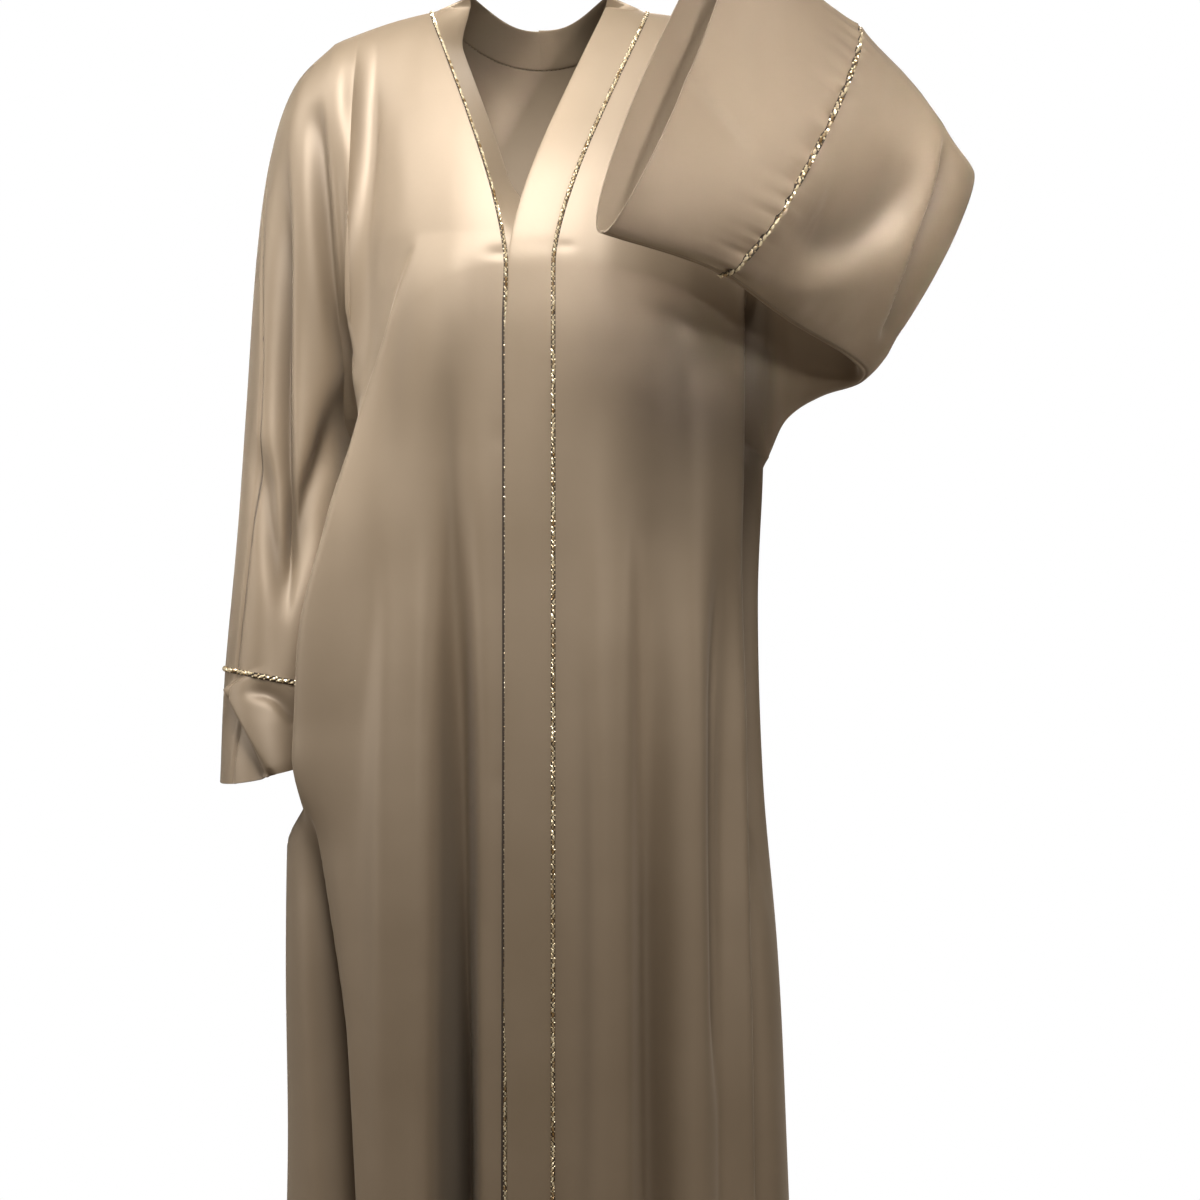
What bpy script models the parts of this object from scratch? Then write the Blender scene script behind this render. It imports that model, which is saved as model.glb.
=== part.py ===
"""Abaya cloak with beaded trims, as it hangs when worn: one arm down, one arm raised.

Metres, +Z up.  The front faces -Y and the wearer's left is +X.  The origin is the middle of
the neck, level with the side-neck points, where the shoulders carry the cloak.

The cut is a kimono cut: two fronts and one back, each with its sleeve halves grown on.  A
panel is an L-shaped sheet.  Its columns are sections of the garment, from the front edge over
the chest and out along the sleeve, and its rows run from the shoulder seam down to the hem.
"""

import math
from bisect import bisect_right
from collections import defaultdict, namedtuple

import bmesh
import bpy
from mathutils import Vector

# Cloth and seams
WALL = 0.0018
SEAM_GAP = 0.0003
SEAM_INSET = SEAM_GAP * 0.56
LENGTH = 1.38

# Front bands and their bead cords
BAND_WIDTH = 0.041
LEFT_BAND_SEAM_X = 0.0170
RIGHT_BAND_SEAM_X = 0.0275
LEFT_BAND_PROUD = 0.0034
PROUD_ENDS, PROUD_TOP, PROUD_FULL = 0.35, -0.10, -0.20
RIGHT_BAND_ROLL = math.radians(62)
BAND_TURN_ROWS, ROLL_ROWS = 3, 4
TRIM_WIDTH = 0.0050
TRIM_HEIGHT = 0.0018
TRIM_CLEARANCE = 0.0008

# Neck and shoulders
SHOULDER_SEAM_START = Vector((0.109, 0.004, -0.006))
BACK_NECK_SIDE = Vector((0.076, 0.074, -0.028))
BACK_NECK_CENTRE = Vector((0.0, 0.100, -0.046))
BACK_NECK_SHARE = 0.28
BACK_NECK_ROUNDNESS = 0.62
SHOULDER_ARCH = 0.004
SIDE_SEAM_Y = 0.012

# How the cloth leaves the shoulder seam, as offsets to a column's second control point, and how
# far it hangs straight above the chest row: at the neck, and at the armhole line
FRONT_YOKE, FRONT_YOKE_AT_ARM = Vector((-0.006, -0.052, -0.030)), Vector((-0.006, -0.082, -0.010))
BACK_YOKE, BACK_YOKE_AT_ARM = Vector((0.0, 0.050, -0.026)), Vector((0.0, 0.070, -0.026))
BACK_YOKE_AT_MIDDLE = Vector((0.0, 0.024, -0.056))
CHEST_HANG, CHEST_HANG_AT_ARM = 0.070, 0.100
BACK_HANG, BACK_HANG_AT_ARM = 0.110, 0.090
UNDERARM_LIFT = 0.07
UNDERARM_LIFT_ENDS = 1.3
ARM_TAKES_OVER = 0.55

# Where a panel's first column stands, the last one that only the body shapes, and the cuff
FIRST_COLUMN = {-1: 0.0, 1: -1.0}
LAST_BODY_COLUMN = 0.75
CUFF_SEAM, CUFF_END = 2.0, 2.4

# How finely the sheets are divided
FRONT_COLUMNS = 17
NECK_COLUMNS = 6
SLEEVE_COLUMNS = 15
CUFF_COLUMNS = 4
UPPER_ROWS = 11
LOWER_ROWS = 13

RIGHT, LEFT = -1, 1
FRONT, BACK = -1, 1

# The body and its sleeves are hung on one general figure, drawn from these tables.
# The hanging body, ring by ring: how far below the neck, the half widths to each side, and how
# far front and back stand out
Ring = namedtuple("Ring", "drop right left front back")
RINGS = (
    Ring(0.26, 0.204, 0.214, 0.163, 0.128),
    Ring(0.34, 0.200, 0.222, 0.168, 0.132),
    Ring(0.45, 0.206, 0.226, 0.166, 0.132),
    Ring(0.60, 0.236, 0.221, 0.166, 0.138),
    Ring(0.78, 0.250, 0.226, 0.172, 0.150),
    Ring(0.95, 0.254, 0.240, 0.178, 0.160),
    Ring(1.15, 0.252, 0.249, 0.186, 0.172),
    Ring(1.38, 0.258, 0.258, 0.196, 0.186),
)
CHEST_LEVEL = -0.285
RING_ROUNDNESS = 0.84

# Sleeve sections from the armhole line out to the wrist.  place is 1 at the armhole line, 2 at
# the cuff seam and past 2 in the cuff.  top lies on the overarm seam, low on the underarm seam,
# facing is the compass direction of the front layer in degrees, and front and back are how
# full each layer is.
Section = namedtuple("Section", "place top_x top_y top_z low_x low_y low_z facing front back")
HANGING_SLEEVE = (
    Section(1.00, -0.205, 0.006, -0.040, -0.184, 0.024, -0.455, -90, 0.125, 0.105),
    Section(1.12, -0.246, 0.006, -0.082, -0.187, 0.026, -0.478, -88, 0.122, 0.105),
    Section(1.25, -0.270, 0.004, -0.150, -0.190, 0.028, -0.503, -86, 0.116, 0.105),
    Section(1.40, -0.284, 0.000, -0.250, -0.193, 0.030, -0.533, -84, 0.112, 0.106),
    Section(1.60, -0.294, -0.004, -0.400, -0.197, 0.032, -0.588, -82, 0.106, 0.108),
    Section(1.80, -0.303, -0.004, -0.530, -0.202, 0.034, -0.643, -80, 0.104, 0.110),
    Section(2.00, -0.315, -0.006, -0.668, -0.208, 0.034, -0.690, -78, 0.106, 0.114),
    Section(2.40, -0.319, -0.012, -0.782, -0.212, 0.030, -0.752, -77, 0.112, 0.118),
)
RAISED_SLEEVE = (
    Section(1.00, 0.204, 0.004, -0.030, 0.232, 0.018, -0.455, -90, 0.120, 0.100),
    Section(1.12, 0.262, -0.006, -0.066, 0.250, 0.018, -0.418, -92, 0.100, 0.085),
    Section(1.28, 0.335, -0.026, -0.112, 0.284, 0.006, -0.394, -98, 0.070, 0.060),
    Section(1.44, 0.398, -0.062, -0.160, 0.318, -0.026, -0.384, -125, 0.048, 0.036),
    Section(1.56, 0.418, -0.105, -0.184, 0.320, -0.072, -0.374, -165, 0.044, 0.028),
    Section(1.68, 0.396, -0.150, -0.168, 0.292, -0.122, -0.360, -205, 0.042, 0.034),
    Section(1.82, 0.350, -0.196, -0.122, 0.241, -0.196, -0.342, -225, 0.042, 0.046),
    Section(2.00, 0.290, -0.250, -0.079, 0.172, -0.290, -0.309, -226, 0.044, 0.048),
    Section(2.40, 0.176, -0.318, -0.008, 0.063, -0.346, -0.280, -224, 0.046, 0.034),
)

# Folds of the hanging body.  x runs from the upper end to the lower end, a positive rise is a
# ridge and a negative one a trough, and a fold that runs out goes on to the hem.
Fold = namedtuple("Fold", "layer x_high high x_low low width rise runs_out")
FOLDS = (
    # front, the wearer's right half
    Fold(FRONT, -0.082, -0.36, -0.066, -1.38, 0.021, -0.040, True),
    Fold(FRONT, -0.128, -0.55, -0.114, -1.38, 0.034, 0.014, True),
    Fold(FRONT, -0.150, -0.30, -0.170, -0.80, 0.030, -0.007, False),
    Fold(FRONT, -0.224, -0.06, -0.184, -0.40, 0.014, -0.018, False),
    Fold(FRONT, -0.258, -0.08, -0.240, -0.60, 0.012, -0.010, False),
    Fold(FRONT, -0.215, -0.78, -0.176, -1.38, 0.015, -0.024, True),
    # front, the wearer's left half
    Fold(FRONT, 0.066, -0.36, 0.058, -1.38, 0.024, 0.010, True),
    Fold(FRONT, 0.106, -0.40, 0.112, -1.38, 0.019, -0.016, True),
    Fold(FRONT, 0.150, -0.30, 0.148, -1.38, 0.024, 0.014, True),
    Fold(FRONT, 0.184, -0.42, 0.186, -1.38, 0.016, -0.014, True),
    Fold(FRONT, 0.214, -0.26, 0.226, -1.38, 0.011, -0.026, True),
    # back
    Fold(BACK, -0.192, -0.34, -0.202, -1.38, 0.022, -0.018, True),
    Fold(BACK, -0.146, -0.24, -0.160, -1.38, 0.024, 0.013, True),
    Fold(BACK, -0.090, -0.50, -0.098, -1.38, 0.030, -0.024, True),
    Fold(BACK, -0.024, -0.30, -0.040, -1.38, 0.036, 0.015, True),
    Fold(BACK, 0.034, -0.62, 0.030, -1.38, 0.020, -0.016, True),
    Fold(BACK, 0.074, -0.26, 0.080, -1.38, 0.022, 0.012, True),
    Fold(BACK, 0.118, -0.40, 0.128, -1.38, 0.026, -0.026, True),
    Fold(BACK, 0.168, -0.22, 0.178, -1.38, 0.024, 0.015, True),
    Fold(BACK, 0.206, -0.46, 0.216, -1.38, 0.016, -0.014, True),
)

# Where the hanging arm presses the body in at its side, how deep, and the corner before it
ARM_HOLLOW = 0.072
ARM_HOLLOW_Y, ARM_HOLLOW_SPREAD = 0.030, 0.090
ARM_HOLLOW_TOP, ARM_HOLLOW_FULL = -0.36, -0.52
ARM_HOLLOW_FOOT, ARM_HOLLOW_ENDS = -0.780, -0.830
FRONT_CORNER, BACK_CORNER = 0.034, 0.030
FRONT_CORNER_Y, BACK_CORNER_Y, CORNER_SPREAD = -0.112, 0.150, 0.026

# A fold that runs on to the hem has its full height after this share of its length.  Folds fade
# out within these shares of a sheet's width and height from its seams, and of the front edge.
FOLD_GROWS = 0.45
SEAM_FADE, SIDE_FADE, EDGE_FADE = 0.12, 0.10, 0.10
LEFT_FOLDS_END, LEFT_FOLDS_FADE = 1.20, 0.25

# The fold that drops from the chest in front of the hanging sleeve: its edge, from top to foot
Edge = namedtuple("Edge", "drop x step")
CHEST_FOLD = (
    Edge(0.25, -0.118, 0.000),
    Edge(0.30, -0.135, 0.008),
    Edge(0.36, -0.151, 0.014),
    Edge(0.43, -0.174, 0.018),
    Edge(0.53, -0.205, 0.018),
    Edge(0.62, -0.230, 0.010),
    Edge(0.72, -0.240, 0.000),
)
CHEST_FOLD_WIDTH = 0.012
CHEST_FOLD_REACH = 7
CHEST_FOLD_FURROW = 1.6

CLOTH_COLOUR = (0.33, 0.25, 0.17, 1.0)
BAND_COLOUR = (0.30, 0.22, 0.15, 1.0)
BEAD_COLOUR = (0.60, 0.46, 0.22, 1.0)


# ---------------------------------------------------------------- curves through tables
def between(rows, at):
    """The columns of a table at a place between its rows, on a smooth curve through them."""
    keys = [row[0] for row in rows]
    at = min(max(at, keys[0]), keys[-1])
    i = min(max(bisect_right(keys, at) - 1, 0), len(rows) - 2)
    span = keys[i + 1] - keys[i]
    t = (at - keys[i]) / span

    def slope(j, column):
        a, b = max(j - 1, 0), min(j + 1, len(rows) - 1)
        return (rows[b][column] - rows[a][column]) / (keys[b] - keys[a])

    values = []
    for column in range(1, len(rows[0])):
        p, q = rows[i][column], rows[i + 1][column]
        m, n = slope(i, column) * span, slope(i + 1, column) * span
        values.append(
            (2 * t**3 - 3 * t**2 + 1) * p
            + (t**3 - 2 * t**2 + t) * m
            + (3 * t**2 - 2 * t**3) * q
            + (t**3 - t**2) * n
        )
    return values


def eased(t):
    """0 before 0, 1 after 1, and a smooth step between."""
    t = min(max(t, 0.0), 1.0)
    return t * t * (3 - 2 * t)


def bump(distance, width):
    """A bell, 1 in the middle."""
    return math.exp(-((distance / width) ** 2))


def bezier(points, t):
    a, b, c, d = points
    u = 1 - t
    return a * u**3 + b * (3 * u * u * t) + c * (3 * u * t * t) + d * t**3


# ---------------------------------------------------------------- the hanging body
def ring_point(half, layer, share, z):
    """A point of the body at height z; share runs from the front edge or middle back to the side."""
    right, left, front, back = between(RINGS, -z)
    width = left if half == LEFT else right
    depth = front if layer == FRONT else back
    inner = 0.0
    if layer == FRONT:
        inner = LEFT_BAND_SEAM_X if half == LEFT else RIGHT_BAND_SEAM_X
    angle = min(max(share, 0.0), 1.0) * math.pi / 2
    outward = 1.0 if share >= 1 else math.sin(angle) ** RING_ROUNDNESS
    forward = 0.0 if share >= 1 else math.cos(angle) ** RING_ROUNDNESS
    x = inner + (width - inner) * outward
    y = SIDE_SEAM_Y + layer * (depth - layer * SIDE_SEAM_Y) * forward
    if half == RIGHT:
        beside = beside_arm(z)
        x -= ARM_HOLLOW * beside * bump(y - ARM_HOLLOW_Y, ARM_HOLLOW_SPREAD)
        x += FRONT_CORNER * beside * bump(y - FRONT_CORNER_Y, CORNER_SPREAD)
        x += BACK_CORNER * beside * bump(y - BACK_CORNER_Y, CORNER_SPREAD)
    return Vector((half * x, y, z))


def beside_arm(z):
    """1 along the hanging arm, fading out above the underarm and below the hand."""
    below = eased((ARM_HOLLOW_TOP - z) / (ARM_HOLLOW_TOP - ARM_HOLLOW_FULL))
    return below * eased((z - ARM_HOLLOW_ENDS) / (ARM_HOLLOW_FOOT - ARM_HOLLOW_ENDS))


def side_level(half, share):
    """Height of the row that joins the chest to the hanging body: lower towards the underarm."""
    low = (HANGING_SLEEVE if half == RIGHT else RAISED_SLEEVE)[0].low_z
    return CHEST_LEVEL + (low - CHEST_LEVEL) * eased(share)


def neck_point(half, place):
    """The back's neckline, from the middle back at -1 to the shoulder seam at 0."""
    t = place + 1
    side = BACK_NECK_SIDE
    middle = BACK_NECK_CENTRE
    start = SHOULDER_SEAM_START
    flat = Vector((side.x * BACK_NECK_ROUNDNESS, middle.y, middle.z))
    control = (middle, flat, side, start)
    p = bezier(control, t)
    return Vector((half * p.x, p.y, p.z))


def shoulder_point(half, share):
    """The shoulder seam, from the neck band to the armhole line."""
    first = (HANGING_SLEEVE if half == RIGHT else RAISED_SLEEVE)[0]
    start = Vector((half * SHOULDER_SEAM_START.x, SHOULDER_SEAM_START.y, SHOULDER_SEAM_START.z))
    end = Vector((first.top_x, first.top_y, first.top_z))
    p = start.lerp(end, share)
    p.z += SHOULDER_ARCH * math.sin(math.pi * share)
    return p


def body_column(half, layer, place):
    """Four control points of a body column, from the neck or shoulder seam to the chest row."""
    if layer == FRONT:
        share = place
        top = shoulder_point(half, place)
    elif place < 0:
        share = (place + 1) * BACK_NECK_SHARE
        top = neck_point(half, place)
    else:
        share = BACK_NECK_SHARE + place * (1 - BACK_NECK_SHARE)
        top = shoulder_point(half, place)
    z = side_level(half, share)
    foot = ring_point(half, layer, share, z)
    rise = (ring_point(half, layer, share, z + 0.02) - foot).normalized()
    across = eased(max(place, 0.0))
    if layer == FRONT:
        yoke = FRONT_YOKE.lerp(FRONT_YOKE_AT_ARM, across)
        hang = CHEST_HANG + (CHEST_HANG_AT_ARM - CHEST_HANG) * across
    else:
        yoke = BACK_YOKE.lerp(BACK_YOKE_AT_ARM, across).lerp(BACK_YOKE_AT_MIDDLE, max(-place, 0.0))
        hang = BACK_HANG + (BACK_HANG_AT_ARM - BACK_HANG) * across
    high = top + Vector((half * yoke.x, yoke.y, yoke.z))
    low = foot + rise * hang
    corner = eased((place - ARM_TAKES_OVER) / (1 - ARM_TAKES_OVER))
    section = (HANGING_SLEEVE if half == RIGHT else RAISED_SLEEVE)[0]
    out = Vector((0.0, float(layer), 0.0)) * (section.front if layer == FRONT else section.back)
    low = low.lerp(foot + out + Vector((0.0, 0.0, UNDERARM_LIFT)), corner)
    high = high.lerp(top + out, corner)
    return top, high, low, foot


def sleeve_column(section, layer):
    """Four control points of one layer of a sleeve section, overarm seam to underarm seam."""
    top = Vector((section.top_x, section.top_y, section.top_z))
    low = Vector((section.low_x, section.low_y, section.low_z))
    angle = math.radians(section.facing)
    out = Vector((math.cos(angle), math.sin(angle), 0.0)) * -layer
    fullness = section.front if layer == FRONT else section.back
    inner = 1 - eased((section.place - 1) / (UNDERARM_LIFT_ENDS - 1))
    lift = Vector((0.0, 0.0, UNDERARM_LIFT * inner))
    return top, top + out * fullness, low + out * fullness + lift, low


def columns_of(half, layer):
    """Two tables that between() reads: every column's control points, and the sleeve's seams."""
    sections = HANGING_SLEEVE if half == RIGHT else RAISED_SLEEVE
    sleeve = [(section.place, *sleeve_column(section, layer)) for section in sections]
    body = [(place, *body_column(half, layer, place)) for place in (0.5, LAST_BODY_COLUMN)]
    return body + sleeve, [(row[0], row[1], row[4]) for row in sleeve]


def column_at(half, layer, columns, place):
    """Control points of any column: worked out on the body, read from the tables on the sleeve."""
    if place <= LAST_BODY_COLUMN:
        return body_column(half, layer, place)
    every, seams = columns
    top, high, low, foot = between(every, place)
    if place < 1:
        top = shoulder_point(half, place)
    else:
        top, foot = between(seams, place)
    return top, high, low, foot


def base_point(half, layer, columns, place, level):
    """The unfolded sheet.  level runs from 0 at the shoulder seam to 1 at the chest row or the
    underarm seam, and on to 2 at the hem."""
    if level <= 1:
        return bezier(column_at(half, layer, columns, place), level)
    share = place
    if layer == BACK:
        if place < 0:
            share = (place + 1) * BACK_NECK_SHARE
        else:
            share = BACK_NECK_SHARE + place * (1 - BACK_NECK_SHARE)
    z = side_level(half, share)
    return ring_point(half, layer, share, z + (-LENGTH - z) * (level - 1))


# ---------------------------------------------------------------- folds
def fold_rise(layer, x, z):
    """How far the folds move the hanging body's cloth out, at a point of its front or back."""
    total = 0.0
    for fold in FOLDS:
        if fold.layer != layer:
            continue
        t = (z - fold.high) / (fold.low - fold.high)
        if t <= 0 or (t >= 1 and not fold.runs_out):
            continue
        fade = eased(t / FOLD_GROWS)
        if not fold.runs_out:
            fade = math.sin(math.pi * t) ** 2
        across = x - (fold.x_high + (fold.x_low - fold.x_high) * t)
        total += fold.rise * fade * bump(across, fold.width)
    return total


def chest_fold_rise(x, z):
    """The step from the sleeve's front layer up to the fold that hangs before it."""
    if not CHEST_FOLD[0].drop < -z < CHEST_FOLD[-1].drop:
        return 0.0
    edge, step = between(CHEST_FOLD, -z)
    inside = (x - edge) / CHEST_FOLD_WIDTH
    ridge = eased(inside) - eased(inside / CHEST_FOLD_REACH - 0.3)
    return step * (ridge - 0.5 * bump(inside + CHEST_FOLD_FURROW, CHEST_FOLD_FURROW))


def proud_of_other_front(half, place, z):
    """The left front lies over the right one at the bands."""
    if half == RIGHT:
        return 0.0
    near_band = 1 - eased(place / PROUD_ENDS)
    return LEFT_BAND_PROUD * near_band * eased((PROUD_TOP - z) / (PROUD_TOP - PROUD_FULL))


def clear_of_seams(place, level):
    """0 on the seams, 1 a little way inside the panel, so that both panels keep one seam line."""
    inside = eased(level / SEAM_FADE)
    above_underarm = eased((1 - level) / SEAM_FADE)
    if place > 1:
        return inside * above_underarm
    return inside * max(eased((1 - place) / SIDE_FADE), above_underarm)


def draped_point(half, layer, columns, place, level):
    """The sheet with its folds, which move the cloth along its own normal."""
    step = 0.004
    here = base_point(half, layer, columns, place, level)
    beside = base_point(half, layer, columns, max(place - step, FIRST_COLUMN[layer]), level)
    other = base_point(half, layer, columns, place + step, level)
    above = base_point(half, layer, columns, place, max(level - step, 0.0))
    below = base_point(half, layer, columns, place, level + step)
    normal = (other - beside).cross(above - below) * half * -layer
    normal.normalize()
    inside = clear_of_seams(place, level)
    rise = fold_rise(layer, here.x, here.z) * inside
    if half == LEFT:
        rise *= eased((LEFT_FOLDS_END - place) / LEFT_FOLDS_FADE)
    if layer == FRONT:
        rise *= eased(place / EDGE_FADE)
        rise += proud_of_other_front(half, place, here.z)
        if half == RIGHT:
            rise += chest_fold_rise(here.x, here.z) * inside
    return here + normal * rise


# ---------------------------------------------------------------- sheets
# A sheet is a dict of points by (column, row) and the list of its four-cornered cells.
def places_of(layer):
    """Where a panel's columns stand, from its front edge or middle back to the cuff seam."""
    places = []
    if layer == BACK:
        places += [-1 + i / NECK_COLUMNS for i in range(NECK_COLUMNS)]
    places += [i / FRONT_COLUMNS for i in range(FRONT_COLUMNS)]
    places += [1 + i / SLEEVE_COLUMNS for i in range(SLEEVE_COLUMNS + 1)]
    return places


def levels_of(place):
    """Rows of a column: down to the hem on the body, down to the underarm seam on the sleeve."""
    upper = [i / UPPER_ROWS for i in range(UPPER_ROWS + 1)]
    if place > 1 + 1e-9:
        return upper
    return upper + [1 + i / LOWER_ROWS for i in range(1, LOWER_ROWS + 1)]


def half_panel(half, layer):
    columns = columns_of(half, layer)
    points = {}
    for i, place in enumerate(places_of(layer)):
        for j, level in enumerate(levels_of(place)):
            points[i, j] = draped_point(half, layer, columns, place, level)
    return points


def cells_of(points, outward):
    """Cells between neighbouring points, turned so that they face outward."""
    cells = []
    for i, j in sorted(points):
        corners = [(i, j), (i + 1, j), (i + 1, j + 1), (i, j + 1)]
        if all(corner in points for corner in corners):
            cells.append(corners if outward else corners[::-1])
    return cells


def front_sheet(half):
    points = half_panel(half, FRONT)
    return points, cells_of(points, half == RIGHT)


def back_sheet():
    """Both halves of the back in one sheet, with the middle back as column 0."""
    points = {(-i, j): p for (i, j), p in half_panel(RIGHT, BACK).items()}
    points.update(half_panel(LEFT, BACK))
    return points, cells_of(points, True)


def cuff_sheet(half):
    """A tube from the cuff seam to the cuff's open edge, both layers in one piece."""
    fronts, backs = columns_of(half, FRONT), columns_of(half, BACK)
    points = {}
    for i in range(CUFF_COLUMNS + 1):
        place = CUFF_SEAM + (CUFF_END - CUFF_SEAM) * i / CUFF_COLUMNS
        for j in range(UPPER_ROWS + 1):
            points[i, j] = draped_point(half, FRONT, fronts, place, j / UPPER_ROWS)
        for j in range(1, UPPER_ROWS):
            level = 1 - j / UPPER_ROWS
            points[i, UPPER_ROWS + j] = draped_point(half, BACK, backs, place, level)
        points[i, 2 * UPPER_ROWS] = points[i, 0]
    cells = cells_of(points, half == RIGHT)
    return points, cells


def sleeve_end(half, front, back):
    """The ring of points just before the cuff seam, front layer down and back layer up."""
    last = FRONT_COLUMNS + SLEEVE_COLUMNS - 1
    ring = [front[last, j] for j in range(UPPER_ROWS + 1)]
    last += NECK_COLUMNS
    return ring + [back[half * last, j] for j in range(UPPER_ROWS - 1, -1, -1)]


# ---------------------------------------------------------------- bands
def front_edge(half, front, back):
    """The band seam, from the hem up the front edge and round to the middle back of the neck,
    and the panels' points beside it."""
    edge = [front[0, j] for j in range(UPPER_ROWS + LOWER_ROWS, -1, -1)]
    beyond = [front[1, j] for j in range(UPPER_ROWS + LOWER_ROWS, -1, -1)]
    for i in range(NECK_COLUMNS - 1, -1, -1):
        edge.append(back[half * i, 0])
        beyond.append(back[half * i, 1])
    return edge, beyond


def band_directions(half, edge, beyond):
    """Which way the band lies from its seam at each row: level down the front, then in the
    plane of the panel that it is sewn to, with the right one's edge rolled in at the neck."""
    last = len(edge) - 1
    directions = []
    for k, seam in enumerate(edge):
        along = (edge[min(k + 1, last)] - edge[max(k - 1, 0)]).normalized()
        panel_side = (beyond[k] - seam).normalized()
        across = (along * panel_side.dot(along) - panel_side).normalized()
        flat = Vector((-half, 0.0, 0.0))
        directions.append(flat.lerp(across, eased((k - LOWER_ROWS) / BAND_TURN_ROWS)).normalized())
    directions[last] = Vector((0.0, directions[last].y, directions[last].z)).normalized()
    for _ in range(2):
        middle = [
            (a + b * 2 + c).normalized()
            for a, b, c in zip(directions, directions[1:], directions[2:])
        ]
        directions = [directions[0], *middle, directions[last]]
    if half == LEFT:
        return directions
    rolled = []
    for k, across in enumerate(directions):
        up = k - LOWER_ROWS
        fade = eased(up / ROLL_ROWS) * eased((UPPER_ROWS - up) / ROLL_ROWS)
        roll = RIGHT_BAND_ROLL * fade
        turned = across * math.cos(roll) + Vector((0, 1, 0)) * math.sin(roll)
        rolled.append(turned.normalized())
    return rolled


def band_sheet(half, front, back):
    """The band from the hem up the front edge and round to the middle back of the neck."""
    edge, beyond = front_edge(half, front, back)
    points = {}
    for k, across in enumerate(band_directions(half, edge, beyond)):
        for row in range(3):
            points[k, row] = edge[k] + across * BAND_WIDTH * row / 2
    return points, cells_of(points, half == LEFT)


# ---------------------------------------------------------------- solids
def key_of(point):
    return tuple(round(value * 1e6) for value in point)


def seam_normals(sheets):
    """One outward direction at each point, shared by every sheet that meets there."""
    total = defaultdict(Vector)
    for points, cells in sheets:
        for cell in cells:
            a, b, c, d = (points[corner] for corner in cell)
            normal = (c - a).cross(d - b)
            for corner in (a, b, c, d):
                total[key_of(corner)] = total[key_of(corner)] + normal
    return {key: normal.normalized() for key, normal in total.items()}


def boundary_of(cells):
    """Edges that belong to one cell, each in that cell's own direction."""
    count = defaultdict(int)
    for cell in cells:
        for a, b in zip(cell, cell[1:] + cell[:1]):
            count[frozenset((a, b))] += 1
    edges = []
    for cell in cells:
        for a, b in zip(cell, cell[1:] + cell[:1]):
            if count[frozenset((a, b))] == 1:
                edges.append((a, b))
    return edges


def inset_of(points, cells, normals):
    """How far each edge point draws back into its own panel, for half a seam's gap."""
    move = defaultdict(Vector)
    for a, b in boundary_of(cells):
        normal = normals[key_of(points[a])] + normals[key_of(points[b])]
        inward = normal.cross(points[b] - points[a]).normalized()
        for corner in (a, b):
            move[corner] = move[corner] + inward
    return {corner: v.normalized() * SEAM_INSET for corner, v in move.items()}


def joined_rows(cells, same):
    """Cells renamed so that a tube's last row is its first."""
    return [[same.get(corner, corner) for corner in cell] for cell in cells]


def shell(name, points, cells, normals, material, wall=WALL, lift=0.0):
    """A closed wall whose outer side is the sheet: the layers and the rim between them."""
    inset_by = inset_of(points, cells, normals)
    mesh = bmesh.new()
    outer, inner = {}, {}
    for corner in sorted({corner for cell in cells for corner in cell}):
        normal = normals[key_of(points[corner])]
        place = points[corner] + inset_by.get(corner, Vector()) + normal * lift
        outer[corner] = mesh.verts.new(place)
        inner[corner] = mesh.verts.new(place - normal * wall)
    for cell in cells:
        mesh.faces.new([outer[corner] for corner in cell])
        mesh.faces.new([inner[corner] for corner in reversed(cell)])
    for a, b in boundary_of(cells):
        if key_of(points[a]) < key_of(points[b]):
            mesh.faces.new([outer[b], outer[a], inner[b]])
            mesh.faces.new([outer[a], inner[a], inner[b]])
        else:
            mesh.faces.new([outer[b], outer[a], inner[a]])
            mesh.faces.new([outer[b], inner[a], inner[b]])
    data = bpy.data.meshes.new(name)
    mesh.to_mesh(data)
    mesh.free()
    data.materials.append(material)
    for polygon in data.polygons:
        polygon.use_smooth = True
    part = bpy.data.objects.new(name, data)
    bpy.data.collections["abaya_cloak"].objects.link(part)
    return part


def trim_sheet(beside, line, beyond, normals):
    """A narrow strip along a seam, laid on the facets at each side of it."""
    points, strip_normals = {}, {}
    for k, seam in enumerate(line):
        normal = normals[key_of(seam)]
        edge_a = seam + (beside[k] - seam).normalized() * (TRIM_WIDTH / 2)
        edge_b = seam + (beyond[k] - seam).normalized() * (TRIM_WIDTH / 2)
        for row, point in enumerate((edge_a, seam, edge_b)):
            points[k, row] = point.copy()
            strip_normals[key_of(point)] = normal
    return points, strip_normals


def material(name, colour, roughness, metallic=0.0):
    made = bpy.data.materials.new(name)
    made.use_nodes = True
    shader = made.node_tree.nodes["Principled BSDF"]
    shader.inputs["Base Color"].default_value = colour
    shader.inputs["Roughness"].default_value = roughness
    shader.inputs["Metallic"].default_value = metallic
    return made


def add_trim(name, beside, line, beyond, normals, beads, outward, closed=False):
    points, own = trim_sheet(beside, line, beyond, normals)
    cells = cells_of(points, outward)
    last = len(line) - 1
    if closed:
        cells = joined_rows(cells, {(last, row): (0, row) for row in range(3)})
    return shell(name, points, cells, own, beads, TRIM_HEIGHT, TRIM_CLEARANCE + TRIM_HEIGHT)


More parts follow.
